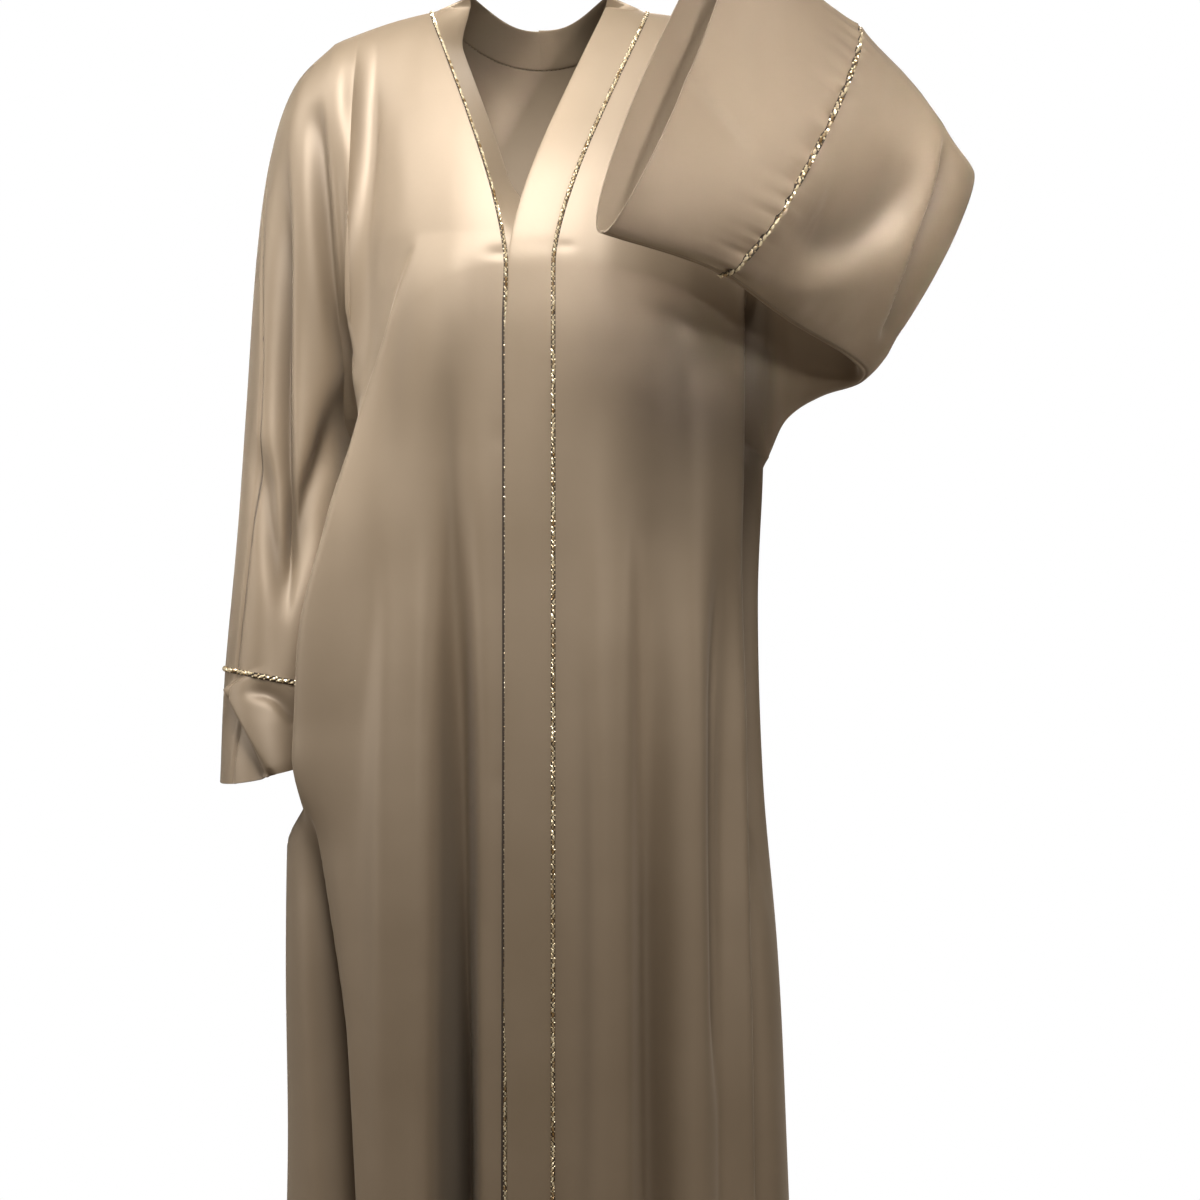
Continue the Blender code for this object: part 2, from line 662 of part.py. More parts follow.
def build():
    for old in list(bpy.data.objects):
        bpy.data.objects.remove(old)
    bpy.context.scene.collection.children.link(bpy.data.collections.new("abaya_cloak"))
    cloth = material("satin", CLOTH_COLOUR, 0.42)
    band = material("satin_band", BAND_COLOUR, 0.45)
    beads = material("bead_cord", BEAD_COLOUR, 0.25, 0.6)

    back, back_cells = back_sheet()
    fronts = {half: front_sheet(half) for half in (RIGHT, LEFT)}
    cuffs = {half: cuff_sheet(half) for half in (RIGHT, LEFT)}
    bands = {half: band_sheet(half, fronts[half][0], back) for half in (RIGHT, LEFT)}
    everything = [(back, back_cells), *fronts.values(), *cuffs.values(), *bands.values()]
    normals = seam_normals(everything)

    shell("back", back, back_cells, normals, cloth)
    for half, side in ((RIGHT, "right"), (LEFT, "left")):
        shell(f"front_{side}", *fronts[half], normals, cloth)
        points, cells = cuffs[half]
        same = {(i, 2 * UPPER_ROWS): (i, 0) for i in range(CUFF_COLUMNS + 1)}
        shell(f"cuff_{side}", points, joined_rows(cells, same), normals, cloth)
        shell(f"band_{side}", *bands[half], normals, band)

        edge, beyond = front_edge(half, fronts[half][0], back)
        band_points = bands[half][0]
        beside = [band_points[k, 1] for k in range(len(edge))]
        name = f"bead_trim_front_{side}"
        add_trim(name, beside, edge, beyond, normals, beads, half == RIGHT)

        around = range(2 * UPPER_ROWS + 1)
        seam = [points[0, j] for j in around]
        beyond = [points[1, j] for j in around]
        sleeve = sleeve_end(half, fronts[half][0], back)
        name = f"bead_trim_cuff_{side}"
        add_trim(name, sleeve, seam, beyond, normals, beads, half == LEFT, True)


build()
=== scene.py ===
"""Beaded satin abaya cloak, hanging as worn with one arm down and one raised.

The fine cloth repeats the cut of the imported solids: each panel is an L-shaped sheet whose
columns are sections of the garment and whose rows run from the shoulder seam to the hem.
Lengths are in metres.  x runs towards the wearer's left, y towards the back and z up, from the
side of the neck.
"""

import math
import random
from collections import namedtuple

import bmesh
import bpy
import numpy as np
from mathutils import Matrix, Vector, noise


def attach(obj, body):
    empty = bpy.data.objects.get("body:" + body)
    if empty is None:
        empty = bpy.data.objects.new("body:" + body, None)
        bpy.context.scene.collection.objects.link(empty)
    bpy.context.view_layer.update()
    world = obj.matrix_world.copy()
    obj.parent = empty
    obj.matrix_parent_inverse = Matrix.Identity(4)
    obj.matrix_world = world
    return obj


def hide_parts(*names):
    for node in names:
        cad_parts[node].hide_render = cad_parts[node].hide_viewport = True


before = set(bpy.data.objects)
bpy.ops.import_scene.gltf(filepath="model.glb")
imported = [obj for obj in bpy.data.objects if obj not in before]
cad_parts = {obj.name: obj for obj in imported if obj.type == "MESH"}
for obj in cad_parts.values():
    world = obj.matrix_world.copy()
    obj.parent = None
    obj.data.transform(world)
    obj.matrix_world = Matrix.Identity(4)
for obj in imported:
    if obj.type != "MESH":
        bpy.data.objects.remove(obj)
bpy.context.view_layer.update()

RIGHT, LEFT = -1, 1
FRONT, BACK = -1, 1

# ---------------------------------------------------------------- the cut
# As in the solids, but for the softer foot of the hollow beside the arm and two eased folds.
LENGTH = 1.38
BAND_WIDTH = 0.041
LEFT_BAND_SEAM_X = 0.0170
RIGHT_BAND_SEAM_X = 0.0275
LEFT_BAND_PROUD = 0.0034
PROUD_ENDS, PROUD_TOP, PROUD_FULL = 0.35, -0.10, -0.20
RIGHT_BAND_ROLL = math.radians(62)

SHOULDER_SEAM_START = np.array((0.109, 0.004, -0.006))
BACK_NECK_SIDE = np.array((0.076, 0.074, -0.028))
BACK_NECK_CENTRE = np.array((0.0, 0.100, -0.046))
BACK_NECK_SHARE = 0.28
BACK_NECK_ROUNDNESS = 0.62
SHOULDER_ARCH = 0.004
SIDE_SEAM_Y = 0.012

FRONT_YOKE, FRONT_YOKE_AT_ARM = np.array((-0.006, -0.052, -0.030)), np.array((-0.006, -0.082, -0.010))
BACK_YOKE, BACK_YOKE_AT_ARM = np.array((0.0, 0.050, -0.026)), np.array((0.0, 0.070, -0.026))
BACK_YOKE_AT_MIDDLE = np.array((0.0, 0.024, -0.056))
CHEST_HANG, CHEST_HANG_AT_ARM = 0.070, 0.100
BACK_HANG, BACK_HANG_AT_ARM = 0.110, 0.090
UNDERARM_LIFT = 0.07
UNDERARM_LIFT_ENDS = 1.3
ARM_TAKES_OVER = 0.55

# A column's place: -1 to 0 along the back of the neck, 0 to 1 from the neck or front edge to the
# arm, 1 to 2 along the sleeve and on to 2.4 along the cuff.
LAST_BODY_COLUMN = 0.75
CUFF_SEAM, CUFF_END = 2.0, 2.4

# drop below the neck, half widths to the right and left, front and back depth
RINGS = (
    (0.26, 0.204, 0.214, 0.163, 0.128),
    (0.34, 0.200, 0.222, 0.168, 0.132),
    (0.45, 0.206, 0.226, 0.166, 0.132),
    (0.60, 0.236, 0.221, 0.166, 0.138),
    (0.78, 0.250, 0.226, 0.172, 0.150),
    (0.95, 0.254, 0.240, 0.178, 0.160),
    (1.15, 0.252, 0.249, 0.186, 0.172),
    (1.38, 0.258, 0.258, 0.196, 0.186),
)
CHEST_LEVEL = -0.285
RING_ROUNDNESS = 0.84

Section = namedtuple("Section", "place top_x top_y top_z low_x low_y low_z facing front back")
HANGING_SLEEVE = (
    Section(1.00, -0.205, 0.006, -0.040, -0.184, 0.024, -0.455, -90, 0.125, 0.105),
    Section(1.12, -0.246, 0.006, -0.082, -0.187, 0.026, -0.478, -88, 0.122, 0.105),
    Section(1.25, -0.270, 0.004, -0.150, -0.190, 0.028, -0.503, -86, 0.116, 0.105),
    Section(1.40, -0.284, 0.000, -0.250, -0.193, 0.030, -0.533, -84, 0.112, 0.106),
    Section(1.60, -0.294, -0.004, -0.400, -0.197, 0.032, -0.588, -82, 0.106, 0.108),
    Section(1.80, -0.303, -0.004, -0.530, -0.202, 0.034, -0.643, -80, 0.104, 0.110),
    Section(2.00, -0.315, -0.006, -0.668, -0.208, 0.034, -0.690, -78, 0.106, 0.114),
    Section(2.40, -0.319, -0.012, -0.782, -0.212, 0.030, -0.752, -77, 0.112, 0.118),
)
RAISED_SLEEVE = (
    Section(1.00, 0.204, 0.004, -0.030, 0.232, 0.018, -0.455, -90, 0.120, 0.100),
    Section(1.12, 0.262, -0.006, -0.066, 0.250, 0.018, -0.418, -92, 0.100, 0.085),
    Section(1.28, 0.335, -0.026, -0.112, 0.284, 0.006, -0.394, -98, 0.070, 0.060),
    Section(1.44, 0.398, -0.062, -0.160, 0.318, -0.026, -0.384, -125, 0.048, 0.036),
    Section(1.56, 0.418, -0.105, -0.184, 0.320, -0.072, -0.374, -165, 0.044, 0.028),
    Section(1.68, 0.396, -0.150, -0.168, 0.292, -0.122, -0.360, -205, 0.042, 0.034),
    Section(1.82, 0.350, -0.196, -0.122, 0.241, -0.196, -0.342, -225, 0.042, 0.046),
    Section(2.00, 0.290, -0.250, -0.079, 0.172, -0.290, -0.309, -226, 0.044, 0.048),
    Section(2.40, 0.176, -0.318, -0.008, 0.063, -0.346, -0.280, -224, 0.046, 0.034),
)

# The folds: a line from x_high, high down to x_low, low, and its width and rise.  Those that run
# out reach the hem.  The two over the arm are eased, as creases sharpen them.
Fold = namedtuple("Fold", "layer x_high high x_low low width rise runs_out")
FOLDS = (
    Fold(FRONT, -0.082, -0.36, -0.066, -1.38, 0.021, -0.040, True),
    Fold(FRONT, -0.128, -0.55, -0.114, -1.38, 0.034, 0.014, True),
    Fold(FRONT, -0.150, -0.30, -0.170, -0.80, 0.030, -0.007, False),
    Fold(FRONT, -0.224, -0.06, -0.184, -0.40, 0.016, -0.008, False),
    Fold(FRONT, -0.258, -0.08, -0.240, -0.60, 0.012, -0.006, False),
    Fold(FRONT, -0.215, -0.78, -0.176, -1.38, 0.015, -0.024, True),
    Fold(FRONT, 0.066, -0.36, 0.058, -1.38, 0.024, 0.010, True),
    Fold(FRONT, 0.106, -0.40, 0.112, -1.38, 0.019, -0.016, True),
    Fold(FRONT, 0.150, -0.30, 0.148, -1.38, 0.024, 0.014, True),
    Fold(FRONT, 0.184, -0.42, 0.186, -1.38, 0.016, -0.014, True),
    Fold(FRONT, 0.214, -0.26, 0.226, -1.38, 0.011, -0.026, True),
    Fold(BACK, -0.192, -0.34, -0.202, -1.38, 0.022, -0.018, True),
    Fold(BACK, -0.146, -0.24, -0.160, -1.38, 0.024, 0.013, True),
    Fold(BACK, -0.090, -0.50, -0.098, -1.38, 0.030, -0.024, True),
    Fold(BACK, -0.024, -0.30, -0.040, -1.38, 0.036, 0.015, True),
    Fold(BACK, 0.034, -0.62, 0.030, -1.38, 0.020, -0.016, True),
    Fold(BACK, 0.074, -0.26, 0.080, -1.38, 0.022, 0.012, True),
    Fold(BACK, 0.118, -0.40, 0.128, -1.38, 0.026, -0.026, True),
    Fold(BACK, 0.168, -0.22, 0.178, -1.38, 0.024, 0.015, True),
    Fold(BACK, 0.206, -0.46, 0.216, -1.38, 0.016, -0.014, True),
)
FOLD_GROWS = 0.45
SEAM_FADE, SIDE_FADE, EDGE_FADE = 0.12, 0.10, 0.10
LEFT_FOLDS_END, LEFT_FOLDS_FADE = 1.20, 0.25

ARM_HOLLOW = 0.072
ARM_HOLLOW_Y, ARM_HOLLOW_SPREAD = 0.030, 0.090
ARM_HOLLOW_TOP, ARM_HOLLOW_FULL = -0.36, -0.52
ARM_HOLLOW_FOOT, ARM_HOLLOW_ENDS = -0.745, -0.845
FRONT_CORNER, BACK_CORNER = 0.034, 0.030
FRONT_CORNER_Y, BACK_CORNER_Y, CORNER_SPREAD = -0.112, 0.150, 0.026

# drop, x of the fold's edge, and its step
CHEST_FOLD = (
    (0.25, -0.118, 0.000),
    (0.30, -0.135, 0.008),
    (0.36, -0.151, 0.014),
    (0.43, -0.174, 0.018),
    (0.53, -0.205, 0.018),
    (0.62, -0.230, 0.010),
    (0.72, -0.240, 0.000),
)
CHEST_FOLD_WIDTH = 0.012
CHEST_FOLD_REACH = 7
CHEST_FOLD_FURROW = 1.6

# ---------------------------------------------------------------- how finely it is divided
BODY_COLUMNS = {FRONT: 132, BACK: 78}
NECK_COLUMNS = 20
SLEEVE_COLUMNS = {(RIGHT, FRONT): 108, (LEFT, FRONT): 90, (RIGHT, BACK): 56, (LEFT, BACK): 150}
UPPER_ROWS = {FRONT: 128, BACK: 80}
LOWER_ROWS = {FRONT: 104, BACK: 80}
CUFF_COLUMNS = 60
CUFF_ROWS = 110
CLOTH = 0.0009
HEM_CLOTH, HEM_DEPTH, HEM_STEP = 0.0020, 0.024, 0.003
SKIRT_LENGTH = 1.1  # about the drop of rows 1 to 2
CUFF_CLOTH, CUFF_TURNED, CUFF_TURNED_STEP = CLOTH * 1.2, 0.80, 0.04


# ---------------------------------------------------------------- curves through tables
def between(rows, at):
    """The columns of a table at places between its rows, on a smooth curve through them."""
    rows = np.asarray(rows, float)
    keys = rows[:, 0]
    at = np.clip(np.atleast_1d(at), keys[0], keys[-1])
    i = np.clip(np.searchsorted(keys, at, side="right") - 1, 0, len(rows) - 2)
    span = keys[i + 1] - keys[i]
    t = ((at - keys[i]) / span)[:, None]
    order = np.arange(len(rows))
    before, after = np.maximum(order - 1, 0), np.minimum(order + 1, len(rows) - 1)
    slope = (rows[after] - rows[before]) / (keys[after] - keys[before])[:, None]
    p, q = rows[i], rows[i + 1]
    m, n = slope[i] * span[:, None], slope[i + 1] * span[:, None]
    values = (2 * t**3 - 3 * t**2 + 1) * p + (t**3 - 2 * t**2 + t) * m
    values += (3 * t**2 - 2 * t**3) * q + (t**3 - t**2) * n
    return values[:, 1:]


def eased(t):
    """A smooth step from 0 to 1."""
    t = np.clip(t, 0.0, 1.0)
    return t * t * (3 - 2 * t)


def bump(distance, width):
    """A rounded ridge, 1 along its middle."""
    return np.exp(-((distance / width) ** 2))


def bezier(points, t):
    """Points at t along a cubic curve."""
    a, b, c, d = points
    t = t[:, None]
    u = 1 - t
    return a * u**3 + b * (3 * u * u * t) + c * (3 * u * t * t) + d * t**3


def unit(v):
    return v / np.maximum(np.linalg.norm(v, axis=-1, keepdims=True), 1e-12)


def distances(line):
    """How far along a line each of its points lies."""
    return np.concatenate(([0], np.cumsum(np.linalg.norm(np.diff(line, axis=0), axis=1))))


def read_at(s, length, line):
    """The point of a line at a distance s along it."""
    return np.array([np.interp(s, length, line[:, k]) for k in range(3)])


# ---------------------------------------------------------------- the unfolded sheets
def beside_arm(z):
    """How much of the hollow beside the hanging arm there is at each height."""
    below = eased((ARM_HOLLOW_TOP - z) / (ARM_HOLLOW_TOP - ARM_HOLLOW_FULL))
    return below * eased((z - ARM_HOLLOW_ENDS) / (ARM_HOLLOW_FOOT - ARM_HOLLOW_ENDS))


def ring_points(half, layer, share, z):
    """Points of the body at heights z in one column."""
    z = np.atleast_1d(np.asarray(z, float))
    right, left, front, back = between(RINGS, -z).T
    width = left if half == LEFT else right
    depth = front if layer == FRONT else back
    inner = 0.0
    if layer == FRONT:
        inner = LEFT_BAND_SEAM_X if half == LEFT else RIGHT_BAND_SEAM_X
    angle = min(max(share, 0.0), 1.0) * math.pi / 2
    outward = 1.0 if share >= 1 else math.sin(angle) ** RING_ROUNDNESS
    forward = 0.0 if share >= 1 else math.cos(angle) ** RING_ROUNDNESS
    x = inner + (width - inner) * outward
    y = SIDE_SEAM_Y + layer * (depth - layer * SIDE_SEAM_Y) * forward
    if half == RIGHT:
        beside = beside_arm(z)
        x = x - ARM_HOLLOW * beside * bump(y - ARM_HOLLOW_Y, ARM_HOLLOW_SPREAD)
        x = x + FRONT_CORNER * beside * bump(y - FRONT_CORNER_Y, CORNER_SPREAD)
        x = x + BACK_CORNER * beside * bump(y - BACK_CORNER_Y, CORNER_SPREAD)
    return np.stack((half * x, y, z), axis=-1)


def sections_of(half):
    return HANGING_SLEEVE if half == RIGHT else RAISED_SLEEVE


def side_level(half, share):
    """Height of row 1: the chest at the middle, the underarm at the side."""
    return CHEST_LEVEL + (sections_of(half)[0].low_z - CHEST_LEVEL) * float(eased(share))


def neck_point(half, place):
    side, middle, start = BACK_NECK_SIDE, BACK_NECK_CENTRE, SHOULDER_SEAM_START
    flat = np.array((side[0] * BACK_NECK_ROUNDNESS, middle[1], middle[2]))
    return bezier((middle, flat, side, start), np.array([place + 1.0]))[0] * (half, 1, 1)


def shoulder_point(half, share):
    first = sections_of(half)[0]
    start = SHOULDER_SEAM_START * (half, 1, 1)
    end = np.array((first.top_x, first.top_y, first.top_z))
    point = start + (end - start) * share
    point[2] += SHOULDER_ARCH * math.sin(math.pi * share)
    return point


def share_of(layer, place):
    """How far round the body a column lies: 0 at its middle edge, 1 at the side."""
    if layer == FRONT:
        return place
    if place < 0:
        return (place + 1) * BACK_NECK_SHARE
    return BACK_NECK_SHARE + place * (1 - BACK_NECK_SHARE)


def body_column(half, layer, place):
    """Control points of a section of the body, from the neck or shoulder seam to row 1."""
    share = share_of(layer, place)
    top = neck_point(half, place) if place < 0 else shoulder_point(half, place)
    z = side_level(half, share)
    foot = ring_points(half, layer, share, z)[0]
    rise = unit(ring_points(half, layer, share, z + 0.02)[0] - foot)
    across = float(eased(max(place, 0.0)))
    if layer == FRONT:
        yoke = FRONT_YOKE + (FRONT_YOKE_AT_ARM - FRONT_YOKE) * across
        hang = CHEST_HANG + (CHEST_HANG_AT_ARM - CHEST_HANG) * across
    else:
        yoke = BACK_YOKE + (BACK_YOKE_AT_ARM - BACK_YOKE) * across
        yoke = yoke + (BACK_YOKE_AT_MIDDLE - yoke) * max(-place, 0.0)
        hang = BACK_HANG + (BACK_HANG_AT_ARM - BACK_HANG) * across
    high = top + yoke * (half, 1, 1)
    low = foot + rise * hang
    corner = float(eased((place - ARM_TAKES_OVER) / (1 - ARM_TAKES_OVER)))
    section = sections_of(half)[0]
    out = np.array((0.0, layer * (section.front if layer == FRONT else section.back), 0.0))
    low = low + (foot + out + (0.0, 0.0, UNDERARM_LIFT) - low) * corner
    high = high + (top + out - high) * corner
    return np.concatenate((top, high, low, foot))


def sleeve_column(section, layer):
    """Control points of a section of the sleeve, from its top to its underarm seam."""
    top = np.array((section.top_x, section.top_y, section.top_z))
    low = np.array((section.low_x, section.low_y, section.low_z))
    angle = math.radians(section.facing)
    out = np.array((math.cos(angle), math.sin(angle), 0.0)) * -layer
    fullness = section.front if layer == FRONT else section.back
    inner = 1 - float(eased((section.place - 1) / (UNDERARM_LIFT_ENDS - 1)))
    lift = np.array((0.0, 0.0, UNDERARM_LIFT * inner))
    return np.concatenate((top, top + out * fullness, low + out * fullness + lift, low))


def control_points(half, layer, places):
    """Each column's four control points, as rows of twelve numbers."""
    sleeve = [(section.place, *sleeve_column(section, layer)) for section in sections_of(half)]
    body = [(place, *body_column(half, layer, place)) for place in (0.5, LAST_BODY_COLUMN)]
    every = between(body + sleeve, places)
    seams = between(sleeve, places)
    columns = []
    for i, place in enumerate(places):
        if place <= LAST_BODY_COLUMN:
            columns.append(body_column(half, layer, place))
            continue
        column = every[i].copy()
        if place < 1:
            column[:3] = shoulder_point(half, place)
        else:
            column[:3], column[9:] = seams[i, :3], seams[i, 9:]
        columns.append(column)
    return np.array(columns)


def base_sheet(half, layer, places, levels):
    """The unfolded sheet, and which of its points exist: rows past 1 are the hanging body."""
    grid = np.zeros((len(places), len(levels), 3))
    keep = np.ones(grid.shape[:2], bool)
    upper = levels <= 1
    for i, column in enumerate(control_points(half, layer, places)):
        grid[i, upper] = bezier(column.reshape(4, 3), levels[upper])
        if (~upper).any():
            if places[i] > 1 + 1e-9:
                keep[i, ~upper] = False
                continue
            share = share_of(layer, places[i])
            z = side_level(half, share)
            z = z + (-LENGTH - z) * (levels[~upper] - 1)
            grid[i, ~upper] = ring_points(half, layer, share, z)
    return grid, keep


def slopes(grid, keep, axis):
    """Central differences, one-sided next to a missing point."""
    ahead, behind = np.roll(grid, -1, axis), np.roll(grid, 1, axis)
    has_ahead, has_behind = np.roll(keep, -1, axis), np.roll(keep, 1, axis)
    index = [slice(None)] * 2
    index[axis] = -1
    has_ahead[tuple(index)] = False
    index[axis] = 0
    has_behind[tuple(index)] = False
    forward = np.where(has_ahead[..., None], ahead, grid)
    backward = np.where(has_behind[..., None], behind, grid)
    return forward - backward


def normals_of(grid, keep, turn):
    return unit(np.cross(slopes(grid, keep, 0), -slopes(grid, keep, 1)) * turn)


# ---------------------------------------------------------------- folds
def fold_rise(layer, x, z):
    """How far the long folds lift the cloth."""
    total = np.zeros_like(x)
    for fold in FOLDS:
        if fold.layer != layer:
            continue
        t = (z - fold.high) / (fold.low - fold.high)
        if fold.runs_out:
            fade = eased(t / FOLD_GROWS)
        else:
            fade = np.where((t > 0) & (t < 1), np.sin(math.pi * np.clip(t, 0, 1)) ** 2, 0.0)
        across = x - (fold.x_high + (fold.x_low - fold.x_high) * t)
        total += fold.rise * fade * bump(across, fold.width)
    return total


def chest_fold_rise(x, z):
    """The soft step that runs from the chest down towards the hanging arm."""
    inside_table = (-z > CHEST_FOLD[0][0]) & (-z < CHEST_FOLD[-1][0])
    edge, step = between(CHEST_FOLD, -z.ravel()).T
    edge, step = edge.reshape(z.shape), step.reshape(z.shape)
    inside = (x - edge) / CHEST_FOLD_WIDTH
    ridge = eased(inside) - eased(inside / CHEST_FOLD_REACH - 0.3)
    rise = step * (ridge - 0.5 * bump(inside + CHEST_FOLD_FURROW, CHEST_FOLD_FURROW))
    return np.where(inside_table, rise, 0.0)


def clear_of_seams(place, level):
    """1 inside a panel, easing to 0 at the seams round it."""
    inside = eased(level / SEAM_FADE)
    above_underarm = eased((1 - level) / SEAM_FADE)
    body = inside * np.maximum(eased((1 - place) / SIDE_FADE), above_underarm)
    return np.where(place > 1, inside * above_underarm, body)


# Creases laid over the folds of each sheet, between the columns first and last.  rise is its
# height, right and left how wide its flank is towards the wearer's right and left where the path
# runs down, grows and ends the shares of its length over which it comes and goes, path its line
# in x and z, and the last column how wide the shade painted on its floor is, as a share of right
# and left.
Crease = namedtuple("Crease", "first last rise right left grows ends path dull", defaults=(0.8,))
CREASES = {
    (RIGHT, FRONT): (
        # the long deep fold with its crisp edge, and its neighbours
        Crease(0, 1, -0.056, 0.018, 0.016, 0.65, 0, (
               (-0.076, -0.50), (-0.074, -0.90), (-0.074, -1.16), (-0.074, -1.39))),
        Crease(0, 1, 0.01, 0.007, 0.022, 0.3, 0, ((-0.052, -0.84), (-0.048, -1.10), (-0.047, -1.39))),
        Crease(0, 1, 0.007, 0.012, 0.03, 0.4, 0, ((-0.106, -0.48), (-0.100, -0.90), (-0.098, -1.39))),
        Crease(0, 1, 0.005, 0.014, 0.014, 0.4, 0.3, ((-0.136, -0.42), (-0.144, -0.80), (-0.138, -1.39))),
        Crease(0, 1, -0.022, 0.013, 0.004, 0.15, 0, (
               (-0.222, -0.79), (-0.206, -1.00), (-0.190, -1.18), (-0.178, -1.39))),
        Crease(0, 1, -0.004, 0.01, 0.01, 0.5, 0.5, ((-0.078, -0.30), (-0.082, -0.52), (-0.080, -0.78))),
        Crease(0, 1, -0.004, 0.012, 0.016, 0.5, 0.5, ((-0.118, -0.24), (-0.122, -0.36), (-0.140, -0.54))),
        # shoulder to underarm: one long crisp fold over the front of the arm, and a soft one beside it
        Crease(0, 1.5, -0.009, 0.014, 0.0045, 0.25, 0.25, (
               (-0.220, -0.10), (-0.214, -0.14), (-0.207, -0.21), (-0.200, -0.27), (-0.190, -0.335),
               (-0.183, -0.39))),
        Crease(0, 1, -0.003, 0.022, 0.022, 0.4, 0.5, ((-0.168, -0.06), (-0.164, -0.14), (-0.146, -0.24))),
        # the hanging sleeve: a long valley from the shoulder to the cuff, and crumples under the arm
        Crease(1, 2, -0.014, 0.014, 0.0055, 0.2, 0.3, (
               (-0.252, -0.14), (-0.250, -0.27), (-0.248, -0.385), (-0.243, -0.47), (-0.239, -0.56),
               (-0.249, -0.63))),
        Crease(1, 2, -0.01, 0.01, 0.012, 0.35, 0.4, (
               (-0.277, -0.43), (-0.270, -0.49), (-0.261, -0.56), (-0.250, -0.62))),
        Crease(1, 2, -0.01, 0.014, 0.012, 0.3, 0.3, (
               (-0.196, -0.38), (-0.207, -0.455), (-0.225, -0.50), (-0.233, -0.54), (-0.243, -0.60))),
        # the hanging cuff: one diagonal fold
        Crease(2, 3, 0.009, 0.004, 0.026, 0.1, 0, ((-0.308, -0.682), (-0.288, -0.716), (-0.262, -0.762))),
        Crease(2, 3, -0.007, 0.018, 0.004, 0.1, 0, ((-0.314, -0.690), (-0.296, -0.720), (-0.270, -0.768))),
        Crease(2, 3, -0.006, 0.006, 0.01, 0.3, 0.1, ((-0.289, -0.688), (-0.258, -0.696), (-0.233, -0.724))),
    ),
    (LEFT, FRONT): (
        Crease(0, 1, 0.006, 0.026, 0.008, 0.3, 0.2, ((0.084, -0.46), (0.088, -0.80), (0.086, -1.34))),
        Crease(0, 1, -0.009, 0.016, 0.014, 0.4, 0.2, ((0.108, -0.70), (0.112, -1.00), (0.118, -1.39))),
        Crease(0, 1, -0.009, 0.01, 0.007, 0.3, 0.2, ((0.172, -0.54), (0.168, -0.80), (0.174, -1.10))),
        Crease(0, 1, 0.007, 0.01, 0.004, 0.3, 0, ((0.204, -0.52), (0.210, -0.90), (0.220, -1.39))),
        Crease(0, 1, -0.034, 0.0035, 0.012, 0.08, 0.35, (
               (0.206, -0.29), (0.209, -0.42), (0.212, -0.56), (0.217, -0.90)), 2.3),
        Crease(0, 1, -0.005, 0.01, 0.01, 0.4, 0.4, ((0.046, -0.60), (0.050, -0.96), (0.046, -1.36))),
        Crease(0, 1, -0.0015, 0.014, 0.012, 0.4, 0.5, ((0.128, -0.26), (0.136, -0.42), (0.150, -0.62))),
    ),
    (LEFT, BACK): (
        # the raised sleeve, whose back layer faces forward: a sweeping valley, and a crisp elbow fold
        Crease(1.2, 2, -0.01, 0.018, 0.034, 0.25, 0.4, (
               (0.222, -0.262), (0.262, -0.278), (0.296, -0.268), (0.325, -0.242), (0.345, -0.210),
               (0.355, -0.170))),
        Crease(1.2, 2, 0.006, 0.024, 0.014, 0.25, 0.45, (
               (0.205, -0.318), (0.250, -0.314), (0.296, -0.294), (0.330, -0.262), (0.352, -0.228))),
        Crease(1.2, 2, 0.008, 0.02, 0.006, 0.25, 0.25, (
               (0.380, -0.140), (0.368, -0.210), (0.346, -0.268), (0.332, -0.318), (0.324, -0.356))),
        Crease(1.2, 2, -0.013, 0.0065, 0.013, 0.25, 0.25, (
               (0.392, -0.146), (0.380, -0.214), (0.358, -0.272), (0.344, -0.322), (0.335, -0.358))),
        Crease(1.9, 3, -0.0024, 0.016, 0.0025, 0.2, 0.3, (
               (0.124, -0.126), (0.163, -0.168), (0.201, -0.210))),
        # long drapes from the shoulder blade, and to the hem
        Crease(-1, 1, -0.009, 0.006, 0.016, 0.4, 0, ((0.098, -0.56), (0.104, -0.90), (0.110, -1.39))),
        Crease(-1, 1, 0.006, 0.014, 0.008, 0.4, 0.3, ((0.050, -0.40), (0.056, -0.80), (0.058, -1.30))),
        Crease(-1, 1, -0.007, 0.01, 0.016, 0.3, 0.3, ((0.148, -0.22), (0.156, -0.46), (0.160, -0.86))),
        Crease(-1, 1, -0.004, 0.014, 0.014, 0.4, 0.5, ((0.070, -0.08), (0.090, -0.20), (0.100, -0.36))),
    ),
    (RIGHT, BACK): (
        Crease(-1, 1, -0.007, 0.012, 0.02, 0.3, 0.3, ((-0.120, -0.20), (-0.128, -0.50), (-0.132, -1.00))),
        Crease(-1, 1, 0.006, 0.008, 0.018, 0.4, 0, ((-0.064, -0.46), (-0.068, -0.90), (-0.066, -1.39))),
        Crease(-1, 1, -0.008, 0.014, 0.006, 0.4, 0, ((-0.174, -0.70), (-0.178, -1.00), (-0.182, -1.39))),
        Crease(-1, 1.4, -0.007, 0.012, 0.01, 0.3, 0.4, ((-0.190, -0.10), (-0.186, -0.24), (-0.180, -0.40))),
    ),
}

# How the seams sit below the cloth, and how the cuff's stitching draws the sleeve up beside it
SEAM_GROOVE, SEAM_GROOVE_WIDTH = 0.0011, 0.0022
